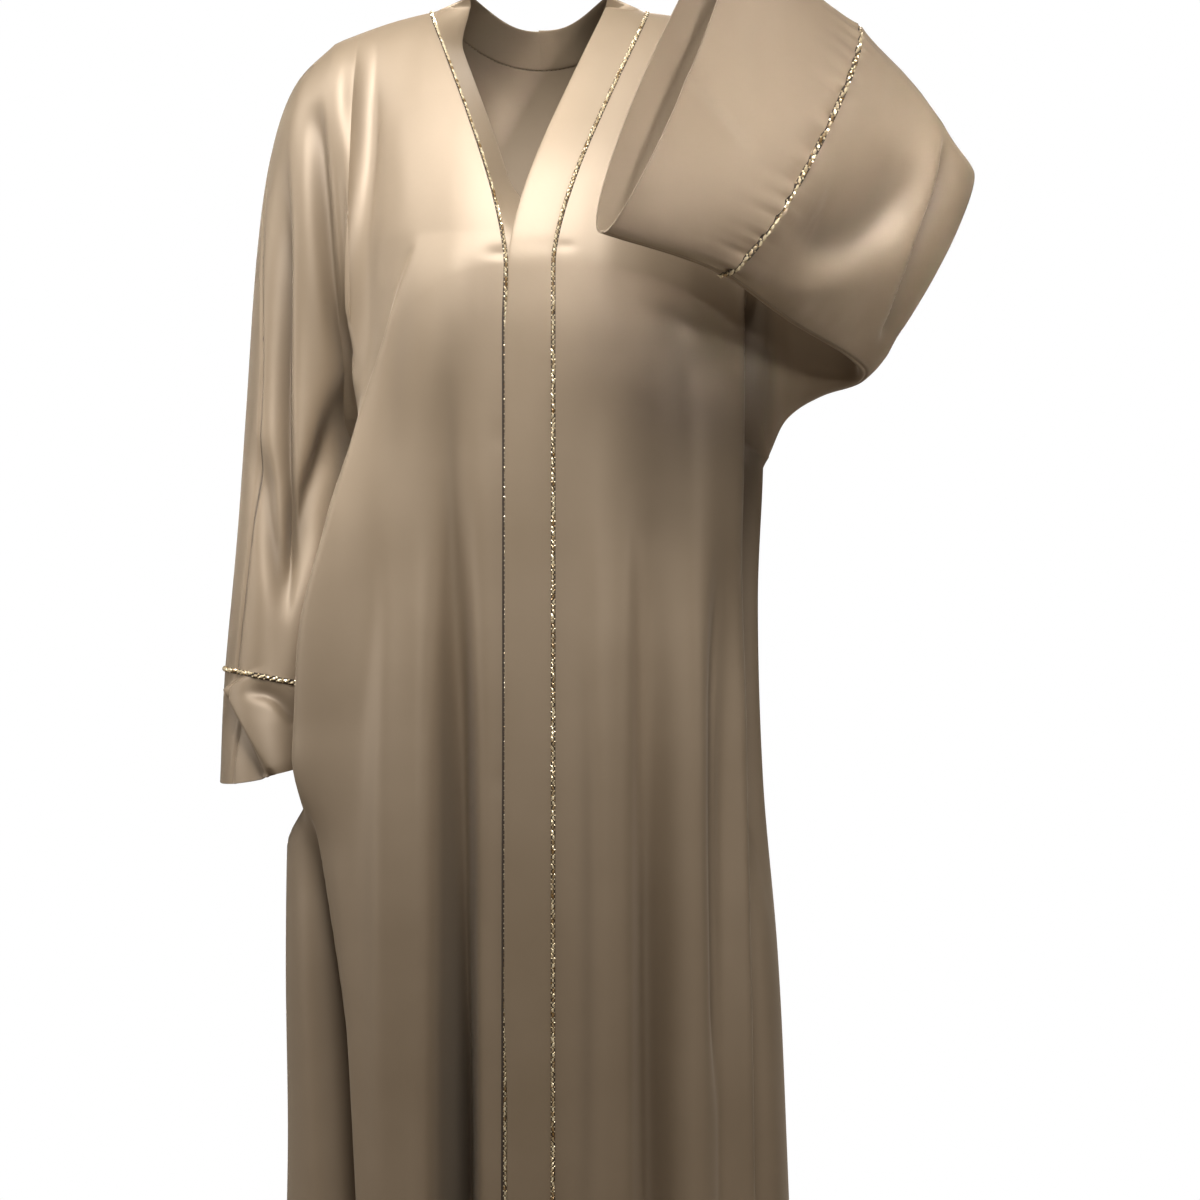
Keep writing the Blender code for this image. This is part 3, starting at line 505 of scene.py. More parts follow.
# The hanging sleeve's overarm seam lies round the front of the arm: how far from the outer edge,
# between which columns it gets there, and by what share it draws back towards the cuff.
OVERARM_AHEAD, OVERARM_STARTS, OVERARM_SPAN = 0.062, 1.15, 0.40
OVERARM_BACK, OVERARM_BACK_STARTS, OVERARM_BACK_SPAN = 0.32, 1.5, 0.5
OVERARM_DEEPER, OVERARM_CLEAR = 3.2, 0.004
SHOULDER_GROOVE_ENDS, SHOULDER_GROOVE_SPAN = 1.25, 0.15
Pucker = namedtuple("Pucker", "pitch height reach")
PUCKER = {RIGHT: Pucker(0.0060, 0.0006, 0.006), LEFT: Pucker(0.0092, 0.0044, 0.014)}

# Where the hidden snaps draw the cloth beside the bands in
Snap = namedtuple("Snap", "half x z wide tall depth")
SNAPS = (
    Snap(RIGHT, -0.034, -0.272, 0.012, 0.006, 0.0016),
    Snap(LEFT, 0.027, -0.266, 0.010, 0.005, 0.0010),
    Snap(RIGHT, -0.032, -0.447, 0.011, 0.006, 0.0013),
    Snap(RIGHT, -0.032, -0.768, 0.011, 0.006, 0.0012),
)


def along(path, steps=24):
    """Points of a smooth curve through a path."""
    rows = np.array([(i, *p) for i, p in enumerate(path)], float)
    return between(rows, np.linspace(0, len(path) - 1, steps))


CREASE_OVERLAP = 0.08  # how far a crease fades out past its first and last column
STEEP = -0.030  # deeper creases have steep walls and a flat floor
SHADE_DEPTH = 0.020  # how deep a crease is before the shade painted on its floor is darkest


def crease_rise(half, layer, x, z, place):
    """How far the creases lift the cloth, and how much shade is painted on their floors, from 0 to 1."""
    total, shade = np.zeros_like(x), np.zeros_like(x)
    for crease in CREASES[half, layer]:
        line = along(crease.path)
        best = np.full(x.shape, 1e9)
        side, at = np.zeros_like(x), np.zeros_like(x)
        for k in range(len(line) - 1):
            a, b = line[k], line[k + 1]
            d = b - a
            t = np.clip(((x - a[0]) * d[0] + (z - a[1]) * d[1]) / d.dot(d), 0, 1)
            dx, dz = x - a[0] - d[0] * t, z - a[1] - d[1] * t
            far = np.hypot(dx, dz)
            near = far < best
            best = np.where(near, far, best)
            side = np.where(near, np.sign(d[0] * dz - d[1] * dx), side)
            at = np.where(near, (k + t) / (len(line) - 1), at)
        width = np.where(side < 0, crease.right, crease.left)
        fade = eased(at / crease.grows) if crease.grows else 1.0
        if crease.ends:
            fade = fade * eased((1 - at) / crease.ends)
        fade = fade * eased((place - crease.first) / CREASE_OVERLAP + 1)
        fade = fade * eased((crease.last - place) / CREASE_OVERLAP + 1)
        total += crease.rise * fade * np.exp(-((best / width) ** (4 if crease.rise < STEEP else 2)))
        # painted shade: a deep crease darkens the cloth's colour on its floor, where shadow falls
        deep = min(max(-crease.rise, 0.0) / SHADE_DEPTH, 1.0)
        shade = np.maximum(shade, deep * fade * bump(best, crease.dull * width))
    return total, shade


def drift(grid, scale, seed):
    """Smooth noise from -1 to 1 at each point; scale is its size along each axis."""
    flat = grid.reshape(-1, 3) / scale + seed
    return np.array([noise.noise(p) for p in flat]).reshape(grid.shape[:2])


def length_along(grid, keep, axis):
    """Distance in metres from the first row or column, over the cloth."""
    step = np.linalg.norm(np.diff(grid, axis=axis), axis=-1)
    last = keep.shape[axis] - 1
    both = np.take(keep, range(1, last + 1), axis) & np.take(keep, range(last), axis)
    step = np.where(both, step, 0.0)
    first = np.zeros_like(np.take(step, [0], axis))
    return np.cumsum(np.concatenate((first, step), axis=axis), axis=axis)


FAR = 0.02  # far enough from a seam for its painted shadow line not to show


def seam_relief(half, layer, grid, keep, place, level):
    """The groove along each seam, with the short puckers that the cuff's stitching draws up;
    and 1 plus how far each point lies from the overarm seam, for the painted shadow line drawn
    along its groove."""
    down = length_along(grid, keep, 1)
    out = length_along(grid, keep, 0)
    upper = level <= 1 + 1e-9
    to_underarm = np.max(np.where(upper, down, 0.0), axis=1, keepdims=True) - down
    side = np.argmin(np.abs(place[:, 0] - 1))
    to_side = out[side : side + 1] - out
    ahead = OVERARM_AHEAD * eased((place - OVERARM_STARTS) / OVERARM_SPAN)
    ahead = ahead * (1 - OVERARM_BACK * eased((place - OVERARM_BACK_STARTS) / OVERARM_BACK_SPAN))
    if half == LEFT or layer == BACK:
        ahead = 0.0 * place
    dulled = eased((SHOULDER_GROOVE_ENDS - place) / SHOULDER_GROOVE_SPAN) if half == RIGHT else 1.0
    relief = -SEAM_GROOVE * np.where(place >= 0, bump(down, SEAM_GROOVE_WIDTH) * dulled, 0.0)
    overarm = bump(down - ahead, SEAM_GROOVE_WIDTH) * np.minimum(ahead / OVERARM_CLEAR, 1.0)
    relief = relief - OVERARM_DEEPER * SEAM_GROOVE * overarm
    underarm, side_seam = bump(to_underarm, SEAM_GROOVE_WIDTH), bump(to_side, SEAM_GROOVE_WIDTH)
    relief = relief - SEAM_GROOVE * np.where((place > 1) & upper, underarm, 0.0)
    relief = relief - SEAM_GROOVE * np.where((place <= 1) & ~upper, side_seam, 0.0)
    cuff = int(np.argmin(np.abs(place[:, 0] - CUFF_SEAM)))
    if abs(place[cuff, 0] - CUFF_SEAM) < 1e-6:
        from_cuff = np.abs(out - out[cuff : cuff + 1])
        pucker = PUCKER[half]
        wave = np.array([noise.noise((s / pucker.pitch, half * 2.0 + layer, 0.3)) for s in down[cuff]])
        reach = pucker.reach * (0.7 + 0.6 * np.abs(wave))[None, :]
        draw = np.exp(-from_cuff / reach) * eased(from_cuff / 0.003)
        relief = relief + pucker.height * wave[None, :] * 2 * draw * (place > 1.5)
    # this distance places the painted shadow line along the overarm seam's groove
    seam = np.where((ahead > OVERARM_CLEAR) & (place < CUFF_SEAM + 0.01), down - ahead, FAR)
    return relief, 1 + np.clip(seam, -FAR, FAR)


# Slow unevenness of hanging cloth: its height, its size along x, y and z, and its own pattern
Drift = namedtuple("Drift", "height size seed")
DRIFTS = (Drift(0.0014, (0.040, 0.060, 0.42), 11.0), Drift(0.0005, (0.018, 0.024, 0.40), 5.0))


def draped_sheet(half, layer, places, levels):
    """The sheet with all its folds: its points, which of them exist, which way its faces turn,
    and the marks by which its material paints shade along the overarm seam and on crease floors."""
    grid, keep = base_sheet(half, layer, places, levels)
    turn = half * -layer
    normal = normals_of(grid, keep, turn)
    place = np.broadcast_to(np.asarray(places)[:, None], keep.shape)
    level = np.broadcast_to(np.asarray(levels)[None, :], keep.shape)
    x, z = grid[..., 0], grid[..., 2]
    inside = clear_of_seams(place, level)
    rise = fold_rise(layer, x, z) * inside
    if half == LEFT:
        rise = rise * eased((LEFT_FOLDS_END - place) / LEFT_FOLDS_FADE)
    if layer == FRONT:
        rise = rise * eased(place / EDGE_FADE)
        if half == LEFT:
            near_band = 1 - eased(place / PROUD_ENDS)
            rise = rise + LEFT_BAND_PROUD * near_band * eased((PROUD_TOP - z) / (PROUD_TOP - PROUD_FULL))
        else:
            rise = rise + chest_fold_rise(x, z) * inside
    calm = inside * (eased(place / EDGE_FADE) if layer == FRONT else 1.0)
    creased, shade = crease_rise(half, layer, x, z, place)
    rise = rise + creased * calm
    for each in DRIFTS:
        rise = rise + each.height * drift(grid, np.array(each.size), each.seed * layer + half) * calm
    relief, seam = seam_relief(half, layer, grid, keep, place, level)
    rise = rise + relief
    if layer == FRONT:
        for snap in SNAPS:
            if snap.half != half:
                continue
            far = np.hypot((x - snap.x) / snap.wide, (z - snap.z) / snap.tall)
            rise = rise - snap.depth * np.exp(-far * far)
    return grid + normal * rise[..., None], keep, turn, np.stack((seam, shade * inside), -1)


def spread(count, low, high):
    """Values from 0 to 1, closer together at an end by its share: 0 evenly, 0.8 a fifth apart."""
    t = np.linspace(0, 1, count + 1)
    wave = np.sin(math.pi * t) / math.pi
    return np.clip(t - low * wave * (1 - t) + high * wave * t, 0, 1)


def places_of(half, layer):
    """The places of a panel's columns."""
    neck = [] if layer == FRONT else list(np.linspace(-1, 0, NECK_COLUMNS + 1)[:-1])
    body = spread(BODY_COLUMNS[layer], 0.8, 0.8)
    sleeve = 1 + spread(SLEEVE_COLUMNS[half, layer], 0.0, 0.7)
    return np.array(neck + list(body[:-1]) + list(sleeve))


def levels_of(layer):
    """The levels of a panel's rows: to 1 at the chest and underarm, then to 2 at the hem."""
    upper = spread(UPPER_ROWS[layer], 0.8, 0.6)
    lower = 1 + np.linspace(0, 1, LOWER_ROWS[layer] + 1)
    return np.concatenate((upper, lower[1:]))


# ---------------------------------------------------------------- making pieces
def sheet_piece(name, points, keep, turn, marks, material, thickness):
    """A thin cloth shell whose outer side is the grid of points."""
    n, m = keep.shape
    mesh = bmesh.new()
    bmesh.ops.create_grid(mesh, x_segments=n - 1, y_segments=m - 1, size=0.5)
    gone = []
    for vertex in mesh.verts:
        i, j = round((vertex.co.x + 0.5) * (n - 1)), round((vertex.co.y + 0.5) * (m - 1))
        if not keep[i, j]:
            gone.append(vertex)
    bmesh.ops.delete(mesh, geom=gone, context="VERTS")
    data = bpy.data.meshes.new(name)
    mesh.to_mesh(data)
    mesh.free()
    flat = np.empty(len(data.vertices) * 3, np.float32)
    data.vertices.foreach_get("co", flat)
    flat = flat.reshape(-1, 3)
    i = np.rint((flat[:, 0] + 0.5) * (n - 1)).astype(int)
    j = np.rint((flat[:, 1] + 0.5) * (m - 1)).astype(int)
    data.vertices.foreach_set("co", points[i, j].astype(np.float32).ravel())
    across, down = distances(points[:, m // 3]), distances(points[n // 3])
    corner = np.empty(len(data.loops), np.int32)
    data.loops.foreach_get("vertex_index", corner)
    layer = data.uv_layers.new(name="cloth")
    flat = np.stack((across[i][corner], down[j][corner]), -1)
    layer.data.foreach_set("uv", flat.astype(np.float32).ravel())
    # the marks by which the satin paints shade along the overarm seam and on crease floors
    for k, title in enumerate(("seam", "shade")):
        mark = data.attributes.new(title, "FLOAT", "POINT")
        mark.data.foreach_set("value", marks[i, j, k].astype(np.float32))
    if turn > 0:
        data.flip_normals()
    data.materials.append(material)
    piece = bpy.data.objects.new(name, data)
    bpy.context.scene.collection.objects.link(piece)
    group = piece.vertex_groups.new(name="thickness")
    most = float(thickness.max())
    share = np.round(thickness[i, j] / most, 2)
    for value in np.unique(share):
        group.add(np.nonzero(share == value)[0].tolist(), float(value), "REPLACE")
    solid = piece.modifiers.new("thickness", "SOLIDIFY")
    solid.thickness = most
    solid.offset = -1
    solid.vertex_group = "thickness"
    bake(piece)
    return piece


def bake(piece):
    """The piece's modifiers made part of its mesh, smooth but for its cut edges."""
    graph = bpy.context.evaluated_depsgraph_get()
    data = bpy.data.meshes.new_from_object(piece.evaluated_get(graph))
    piece.modifiers.clear()
    piece.data = data
    data.shade_smooth()
    data.set_sharp_from_angle(angle=math.radians(72))


def finished(piece, nodes):
    """The piece on its body, in place of its solids."""
    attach(piece, "root")
    if nodes:
        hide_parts(*nodes)


# ---------------------------------------------------------------- materials
def linear(code):
    """Linear colour of an sRGB hex code."""
    values = [int(code[k : k + 2], 16) / 255 for k in (1, 3, 5)]
    return (*[v / 12.92 if v <= 0.04045 else ((v + 0.055) / 1.055) ** 2.4 for v in values], 1.0)


def node(tree, kind, links=(), inputs=(), **settings):
    """Adds a node with its settings, its inputs' values and its (input, node, output) links."""
    made = tree.nodes.new(kind)
    for key, value in settings.items():
        setattr(made, key, value)
    for key, value in dict(inputs).items():
        made.inputs[key].default_value = value
    for socket, source, output in links:
        tree.links.new(source.outputs[output], made.inputs[socket])
    return made


def empty_material(name):
    made = bpy.data.materials.new(name)
    made.use_nodes = True
    made.node_tree.nodes.clear()
    return made, made.node_tree


# Pattern scales, in repeats to a metre
PRESSED = 7.0  # pressed and rubbed places, 140 mm across
RUMPLED = 38.0  # soft dents, 26 mm across
WEAVE = (900.0, 2600.0, 1.0)  # threads about 0.2 mm apart, drawn 1.1 by 0.4 mm to show
TAPE_RIBS = 900.0  # ribs 1.1 mm apart
# How dark the painted shade is drawn, as a shadow line along the overarm seam and on crease
# floors, and that line by its distance from the middle
SEAM_SHADOW_LINE, SEAM_SHADOW_FADES = 0.0006, 0.0018
SEAM_SHADOW_DARK, CREASE_DARK = 0.85, 0.75


def satin_material(name, light, dark, roughness):
    """Polyester satin crepe: a soft broad sheen over a faint weave, duller where it was pressed.
    Shade is painted darker along the overarm seam and on the floors of deep creases, by the
    sheet's own marks."""
    made, tree = empty_material(name)
    at = [("Vector", node(tree, "ShaderNodeTexCoord"), "Object")]
    broad = node(tree, "ShaderNodeTexNoise", at, {"Scale": PRESSED, "Detail": 3.0, "Roughness": 0.5})
    colour = node(tree, "ShaderNodeValToRGB", [("Fac", broad, "Fac")])
    low, high = colour.color_ramp.elements
    low.position, high.position = 0.3, 0.7
    low.color, high.color = linear(dark), linear(light)
    # painted shade: a dark line along the overarm seam's groove, and darker floors in deep creases
    seam = node(tree, "ShaderNodeAttribute", attribute_name="seam")
    off = node(tree, "ShaderNodeMath", [(0, seam, "Fac")], {1: 1.0}, operation="SUBTRACT")
    away = node(tree, "ShaderNodeMath", [(0, off, "Value")], operation="ABSOLUTE")
    fades = {"From Min": SEAM_SHADOW_LINE, "From Max": SEAM_SHADOW_FADES, "To Min": SEAM_SHADOW_DARK, "To Max": 0.0}
    line = node(tree, "ShaderNodeMapRange", [("Value", away, "Value")], fades)
    shade = node(tree, "ShaderNodeAttribute", attribute_name="shade")
    dull = node(tree, "ShaderNodeMath", [(0, shade, "Fac")], {1: CREASE_DARK}, operation="MULTIPLY")
    darker = node(tree, "ShaderNodeMath", [(0, line, "Result"), (1, dull, "Value")], operation="MAXIMUM")
    both = [("Factor", darker, "Value"), (6, colour, "Color")]
    shaded = node(tree, "ShaderNodeMix", both, data_type="RGBA")
    # the colour of the painted shade
    shaded.inputs[7].default_value = linear("#33281D")
    uv = node(tree, "ShaderNodeUVMap", uv_map="cloth")
    threads = node(tree, "ShaderNodeMapping", [("Vector", uv, "UV")], {"Scale": WEAVE})
    weave = node(tree, "ShaderNodeTexNoise", [("Vector", threads, "Vector")], {"Scale": 1.0, "Detail": 2.0})
    rumple = node(tree, "ShaderNodeTexNoise", at, {"Scale": RUMPLED, "Detail": 4.0, "Roughness": 0.55})
    soft = node(tree, "ShaderNodeBump", [("Height", rumple, "Fac")], {"Strength": 0.06, "Distance": 0.004})
    raised = [("Height", weave, "Fac"), ("Normal", soft, "Normal")]
    fine = node(tree, "ShaderNodeBump", raised, {"Strength": 0.08, "Distance": 0.0004})
    span = {"To Min": roughness - 0.03, "To Max": roughness + 0.04}
    sheen = node(tree, "ShaderNodeMapRange", [("Value", broad, "Fac")], span)
    finish = {
        "Metallic": 0.20,
        "Specular IOR Level": 0.9,
        "Specular Tint": linear("#F3E7DA"),
        "Sheen Weight": 0.18,
        "Sheen Roughness": 0.45,
        "Sheen Tint": linear("#E9D9C4"),
        "Coat Weight": 0.25,
        "Coat Roughness": 0.6,
    }
    reads = [("Base Color", shaded, 2), ("Roughness", sheen, "Result"), ("Normal", fine, "Normal")]
    shader = node(tree, "ShaderNodeBsdfPrincipled", reads, finish)
    node(tree, "ShaderNodeOutputMaterial", [("Surface", shader, "BSDF")])
    return made


def bead_material():
    """Gold-lined glass: bright facets over a brown core, no two quite alike."""
    made, tree = empty_material("glass_gold_lined")
    tone = node(tree, "ShaderNodeAttribute", attribute_name="tone")
    colour = node(tree, "ShaderNodeValToRGB", [("Fac", tone, "Fac")])
    low, high = colour.color_ramp.elements
    low.color, high.color = linear("#8A6A3E"), linear("#FFF0CC")
    finish = {"Roughness": 0.12, "Metallic": 0.55, "Coat Weight": 0.6, "Coat Roughness": 0.05}
    shader = node(tree, "ShaderNodeBsdfPrincipled", [("Base Color", colour, "Color")], finish)
    node(tree, "ShaderNodeOutputMaterial", [("Surface", shader, "BSDF")])
    return made


def tape_and_shadow_material():
    """Woven polyester tape, matt and finely ribbed; its dark colour is also a painted shadow beside the
    beads.
    """
    made, tree = empty_material("polyester_tape_painted_shadow")
    at = [("Vector", node(tree, "ShaderNodeTexCoord"), "Object")]
    ribs = node(tree, "ShaderNodeTexNoise", at, {"Scale": TAPE_RIBS, "Detail": 2.0})
    relief = node(tree, "ShaderNodeBump", [("Height", ribs, "Fac")], {"Strength": 0.2, "Distance": 0.0003})
    # the tape's colour is darkened to stand for the shadow beside the beads: painted shade
    finish = {"Base Color": linear("#2E2318"), "Roughness": 0.8}
    shader = node(tree, "ShaderNodeBsdfPrincipled", [("Normal", relief, "Normal")], finish)
    node(tree, "ShaderNodeOutputMaterial", [("Surface", shader, "BSDF")])
    return made


def floor_material():
    """Painted studio floor: it takes a soft shadow near the cloak and is bare white further out."""
    made, tree = empty_material("floor_paint")
    place = node(tree, "ShaderNodeTexCoord")
    far = node(tree, "ShaderNodeVectorMath", [(0, place, "Object")], operation="LENGTH")
    span = {"From Min": 0.45, "From Max": 1.05}
    reads = [("Value", far, "Value")]
    fade = node(tree, "ShaderNodeMapRange", reads, span, interpolation_type="SMOOTHSTEP")
    paint = node(tree, "ShaderNodeBsdfDiffuse", inputs={"Color": linear("#F2F1EF")})
    glow = node(tree, "ShaderNodeEmission", inputs={"Strength": 0.45})
    white = node(tree, "ShaderNodeEmission", inputs={"Strength": 1.0})
    near = node(tree, "ShaderNodeAddShader", [(0, paint, "BSDF"), (1, glow, "Emission")])
    parts = [(0, fade, "Result"), (1, near, "Shader"), (2, white, "Emission")]
    seen = node(tree, "ShaderNodeMixShader", parts)
    dim = node(tree, "ShaderNodeBsdfDiffuse", inputs={"Color": linear("#8E8478")})
    ray = node(tree, "ShaderNodeLightPath")
    parts = [(0, ray, "Is Camera Ray"), (1, dim, "BSDF"), (2, seen, "Shader")]
    whole = node(tree, "ShaderNodeMixShader", parts)
    node(tree, "ShaderNodeOutputMaterial", [("Surface", whole, "Shader")])
    return made


SATIN = satin_material("satin_crepe", "#7F6F5B", "#766652", 0.54)
BAND_SATIN = satin_material("satin_crepe_pressed", "#7D6D59", "#756550", 0.54)
BEADS = bead_material()
TAPE_AND_SHADOW = tape_and_shadow_material()


# ---------------------------------------------------------------- panels
def thickness_of(level, keep):
    """Single cloth, doubled at the hem."""
    from_hem = (2 - level) * SKIRT_LENGTH
    doubled = eased((HEM_DEPTH - from_hem) / HEM_STEP)
    return np.broadcast_to(CLOTH + (HEM_CLOTH - CLOTH) * doubled, keep.shape)


sheets = {}
for layer in (FRONT, BACK):
    for half in (RIGHT, LEFT):
        sheets[half, layer] = draped_sheet(half, layer, places_of(half, layer), levels_of(layer))

for half, side in ((RIGHT, "right"), (LEFT, "left")):
    points, keep, turn, marks = sheets[half, FRONT]
    thickness = thickness_of(levels_of(FRONT)[None, :], keep)
    piece = sheet_piece(f"front_panel_{side}", points, keep, turn, marks, SATIN, thickness)
    finished(piece, [f"front_{side}"])

right, keep_right, _, marks_right = sheets[RIGHT, BACK]
left, keep_left, turn, marks_left = sheets[LEFT, BACK]
points = np.concatenate((right[:0:-1], left))
keep = np.concatenate((keep_right[:0:-1], keep_left))
marks = np.concatenate((marks_right[:0:-1], marks_left))
thickness = thickness_of(levels_of(BACK)[None, :], keep)
piece = sheet_piece("back_panel", points, keep, turn, marks, SATIN, thickness)
finished(piece, ["back"])


# ---------------------------------------------------------------- cuffs
def cuff_points(half):
    """The cuff's tube as a grid, from its seam to its open edge, front layer down and back up."""
    places = CUFF_SEAM + (CUFF_END - CUFF_SEAM) * spread(CUFF_COLUMNS, 0.8, 0.0)
    levels = spread(CUFF_ROWS, 0.5, 0.5)
    front, _, turn, front_marks = draped_sheet(half, FRONT, places, levels)
    back, _, _, back_marks = draped_sheet(half, BACK, places, levels)
    ring = np.concatenate((front, back[:, -2::-1]), axis=1)
    return ring, turn, np.concatenate((front_marks, back_marks[:, -2::-1]), axis=1)


# what shows of each cuff, all round: the hanging one is crumpled up at its underside
cuffs = {}
for half, side in ((RIGHT, "right"), (LEFT, "left")):
    points, turn, marks = cuff_points(half)
    cuffs[half] = points
    keep = np.ones(points.shape[:2], bool)
    rows = np.linspace(0, 1, points.shape[0])[:, None]
    turned = eased((rows - CUFF_TURNED) / CUFF_TURNED_STEP)
    thickness = np.broadcast_to(CUFF_CLOTH + (HEM_CLOTH - CLOTH) * turned, keep.shape)
    piece = sheet_piece(f"cuff_{side}_cloth", points, keep, turn, marks, SATIN, thickness)
    finished(piece, [f"cuff_{side}"])


# ---------------------------------------------------------------- bands and bead cords
BAND_THICK, BAND_STEP, BAND_AROUND = 0.0022, 0.0045, 34
BAND_TURN_SPAN = 0.075  # above the chest it turns from facing forward to following the neck
# The under band rolls in beside the V: how soft the roll's ends are, and how far short of the
# middle back it stops
RIGHT_ROLL_FADES, RIGHT_ROLL_ENDS = 0.10, 0.13
# The over band is a little wider than its solid all along, and more so between two distances
# from the hem, where it half hides the beads
LEFT_WIDER, LEFT_WIDER_MIDDLE = 0.0012, 0.0030
LEFT_WIDER_FROM, LEFT_WIDER_FROM_SPAN = 0.30, 0.12
LEFT_WIDER_TO, LEFT_WIDER_TO_SPAN = 1.08, 0.05
BAND_SQUARE, BAND_FLAT = 0.35, 0.8  # how square its edges and how flat its faces are
BAND_GAP, BAND_LIFT, BAND_WAVE = 0.0004, 0.0006, 0.0009


def edge_line(half):
    """The band seam from the hem up the front edge and round to the middle back, with the
    panel's direction at each point."""
    front, back = sheets[half, FRONT][0], sheets[half, BACK][0]
    line = front[0, ::-1]
    inner = front[2, ::-1]
    neck = back[NECK_COLUMNS - 1 :: -1, 0]
    beside = back[NECK_COLUMNS - 1 :: -1, 2]
    return np.concatenate((line, neck)), np.concatenate((inner, beside))


def band_frame(half, line, inner):
    """Which way the band lies from its seam, and its outward normal."""
    along_line = unit(np.gradient(line, axis=0))
    panel = unit(inner - line)
    across = unit(along_line * (panel * along_line).sum(-1, keepdims=True) - panel)
    length = distances(line)
    chest = LENGTH + CHEST_LEVEL
    turn_in = eased((length - chest) / BAND_TURN_SPAN)[:, None]
    flat = np.array((-half, 0.0, 0.0))
    across = unit(flat + (across - flat) * turn_in)
    across[-1] = unit(across[-1] * (0, 1, 1))
    kernel = np.hanning(15)
    kernel /= kernel.sum()
    padded = np.pad(across, ((7, 7), (0, 0)), mode="edge")
    across = unit(np.stack([np.convolve(padded[:, k], kernel, mode="valid") for k in range(3)], -1))
    if half == RIGHT:
        upper = length[-1] - chest - RIGHT_ROLL_ENDS
        up = length - chest
        fade = (eased(up / RIGHT_ROLL_FADES) * eased((upper - up) / RIGHT_ROLL_FADES))[:, None]
        roll = RIGHT_BAND_ROLL * fade
        across = unit(across * np.cos(roll) + np.array((0, 1.0, 0)) * np.sin(roll))
    normal = unit(np.cross(along_line, across) * half)
    return across, normal, length


def resampled(length, step, *arrays):
    """Each array read at even steps along the line."""
    at = np.linspace(0, length[-1], int(length[-1] / step) + 1)
    return at, [np.stack([np.interp(at, length, a[:, k]) for k in range(3)], -1) for a in arrays]


def band_points(half):
    """The band's flat tube as a grid along its seam and round its section."""
    line, inner = edge_line(half)
    across, normal, length = band_frame(half, line, inner)
    at, (line, across, normal) = resampled(length, BAND_STEP, line, across, normal)
    around = np.linspace(0, 2 * math.pi, BAND_AROUND + 1)
    wave = np.array([noise.noise((s * 9.0, half * 3.0, 0.5)) for s in at])
    width = np.full(len(at), BAND_WIDTH)
    if half == LEFT:
        begins = eased((at - LEFT_WIDER_FROM) / LEFT_WIDER_FROM_SPAN)
        width = width + LEFT_WIDER
        width = width + LEFT_WIDER_MIDDLE * begins * eased((LEFT_WIDER_TO - at) / LEFT_WIDER_TO_SPAN)
    points = np.zeros((len(at), len(around), 3))
    for r, angle in enumerate(around):
        c, s = math.cos(angle), math.sin(angle)
        u = width / 2 * (1 - math.copysign(abs(c) ** BAND_SQUARE, c))
        v = BAND_THICK / 2 * math.copysign(abs(s) ** BAND_FLAT, s)
        middle = np.sin(math.pi * np.clip(u / width, 0, 1))
        lift = BAND_LIFT + BAND_WAVE * middle * (wave + 0.4)
        out = (v - BAND_THICK / 2 + lift)[:, None]
        points[:, r] = line + across * (u + BAND_GAP)[:, None] + normal * out
    return points, at, line, across, normal


def mapped_piece(name, points, material):
    """A grid laid on points, closed where its sides meet and at its ends."""
    n, m = points.shape[:2]
    mesh = bmesh.new()
    bmesh.ops.create_grid(mesh, x_segments=n - 1, y_segments=m - 1, size=0.5)
    for vertex in mesh.verts:
        i, j = round((vertex.co.x + 0.5) * (n - 1)), round((vertex.co.y + 0.5) * (m - 1))
        vertex.co = points[i, j]
    bmesh.ops.remove_doubles(mesh, verts=mesh.verts, dist=1e-6)
    if np.allclose(points[:, 0], points[:, -1]):
        ends = [edge for edge in mesh.edges if edge.is_boundary]
        bmesh.ops.holes_fill(mesh, edges=ends)
    bmesh.ops.recalc_face_normals(mesh, faces=mesh.faces)
    data = bpy.data.meshes.new(name)
    mesh.to_mesh(data)
    mesh.free()
    data.materials.append(material)
    data.shade_smooth()
    data.set_sharp_from_angle(angle=math.radians(60))
    piece = bpy.data.objects.new(name, data)
    bpy.context.scene.collection.objects.link(piece)
    return piece


bands = {}
for half, side in ((RIGHT, "right"), (LEFT, "left")):
    points, at, line, across, normal = band_points(half)
    bands[half] = (at, line, across, normal)
    piece = mapped_piece(f"band_{side}_cloth", points, BAND_SATIN)
    finished(piece, [f"band_{side}"])


# Long beads lie along the seam, with two small ones aside between each pair.  above is how high
# one sits over the seam, swing how far it turns out of line.
Bead = namedtuple("Bead", "segments rings radius length above swing")
LONG_BEAD = Bead(8, 6, 0.00125, 0.0040, 0.0012, 0.28)
SMALL_BEAD = Bead(6, 4, 0.00085, 0.0017, 0.0009, 0.6)
BEAD_PITCH = 0.0046
BEAD_SIZES = 0.88, 1.10
LONG_BEAD_STRAYS = 0.0005
SMALL_BEAD_ASIDE = {1: 0.0013, 2: -0.0013}
CUFF_BEADS = 1.3  # the cuffs' beads are larger


def bead_shape(bead, scale):
    """One bead's vertices and triangles, its length along z."""
    mesh = bmesh.new()
    bmesh.ops.create_uvsphere(mesh, u_segments=bead.segments, v_segments=bead.rings, radius=1.0)
    bmesh.ops.triangulate(mesh, faces=mesh.faces)
    mesh.verts.ensure_lookup_table()
    vertices = np.array([v.co[:] for v in mesh.verts])
    faces = np.array([[v.index for v in f.verts] for f in mesh.faces])
    mesh.free()
    radius = bead.radius * scale
    return vertices * (radius, radius, bead.length * scale / 2), faces


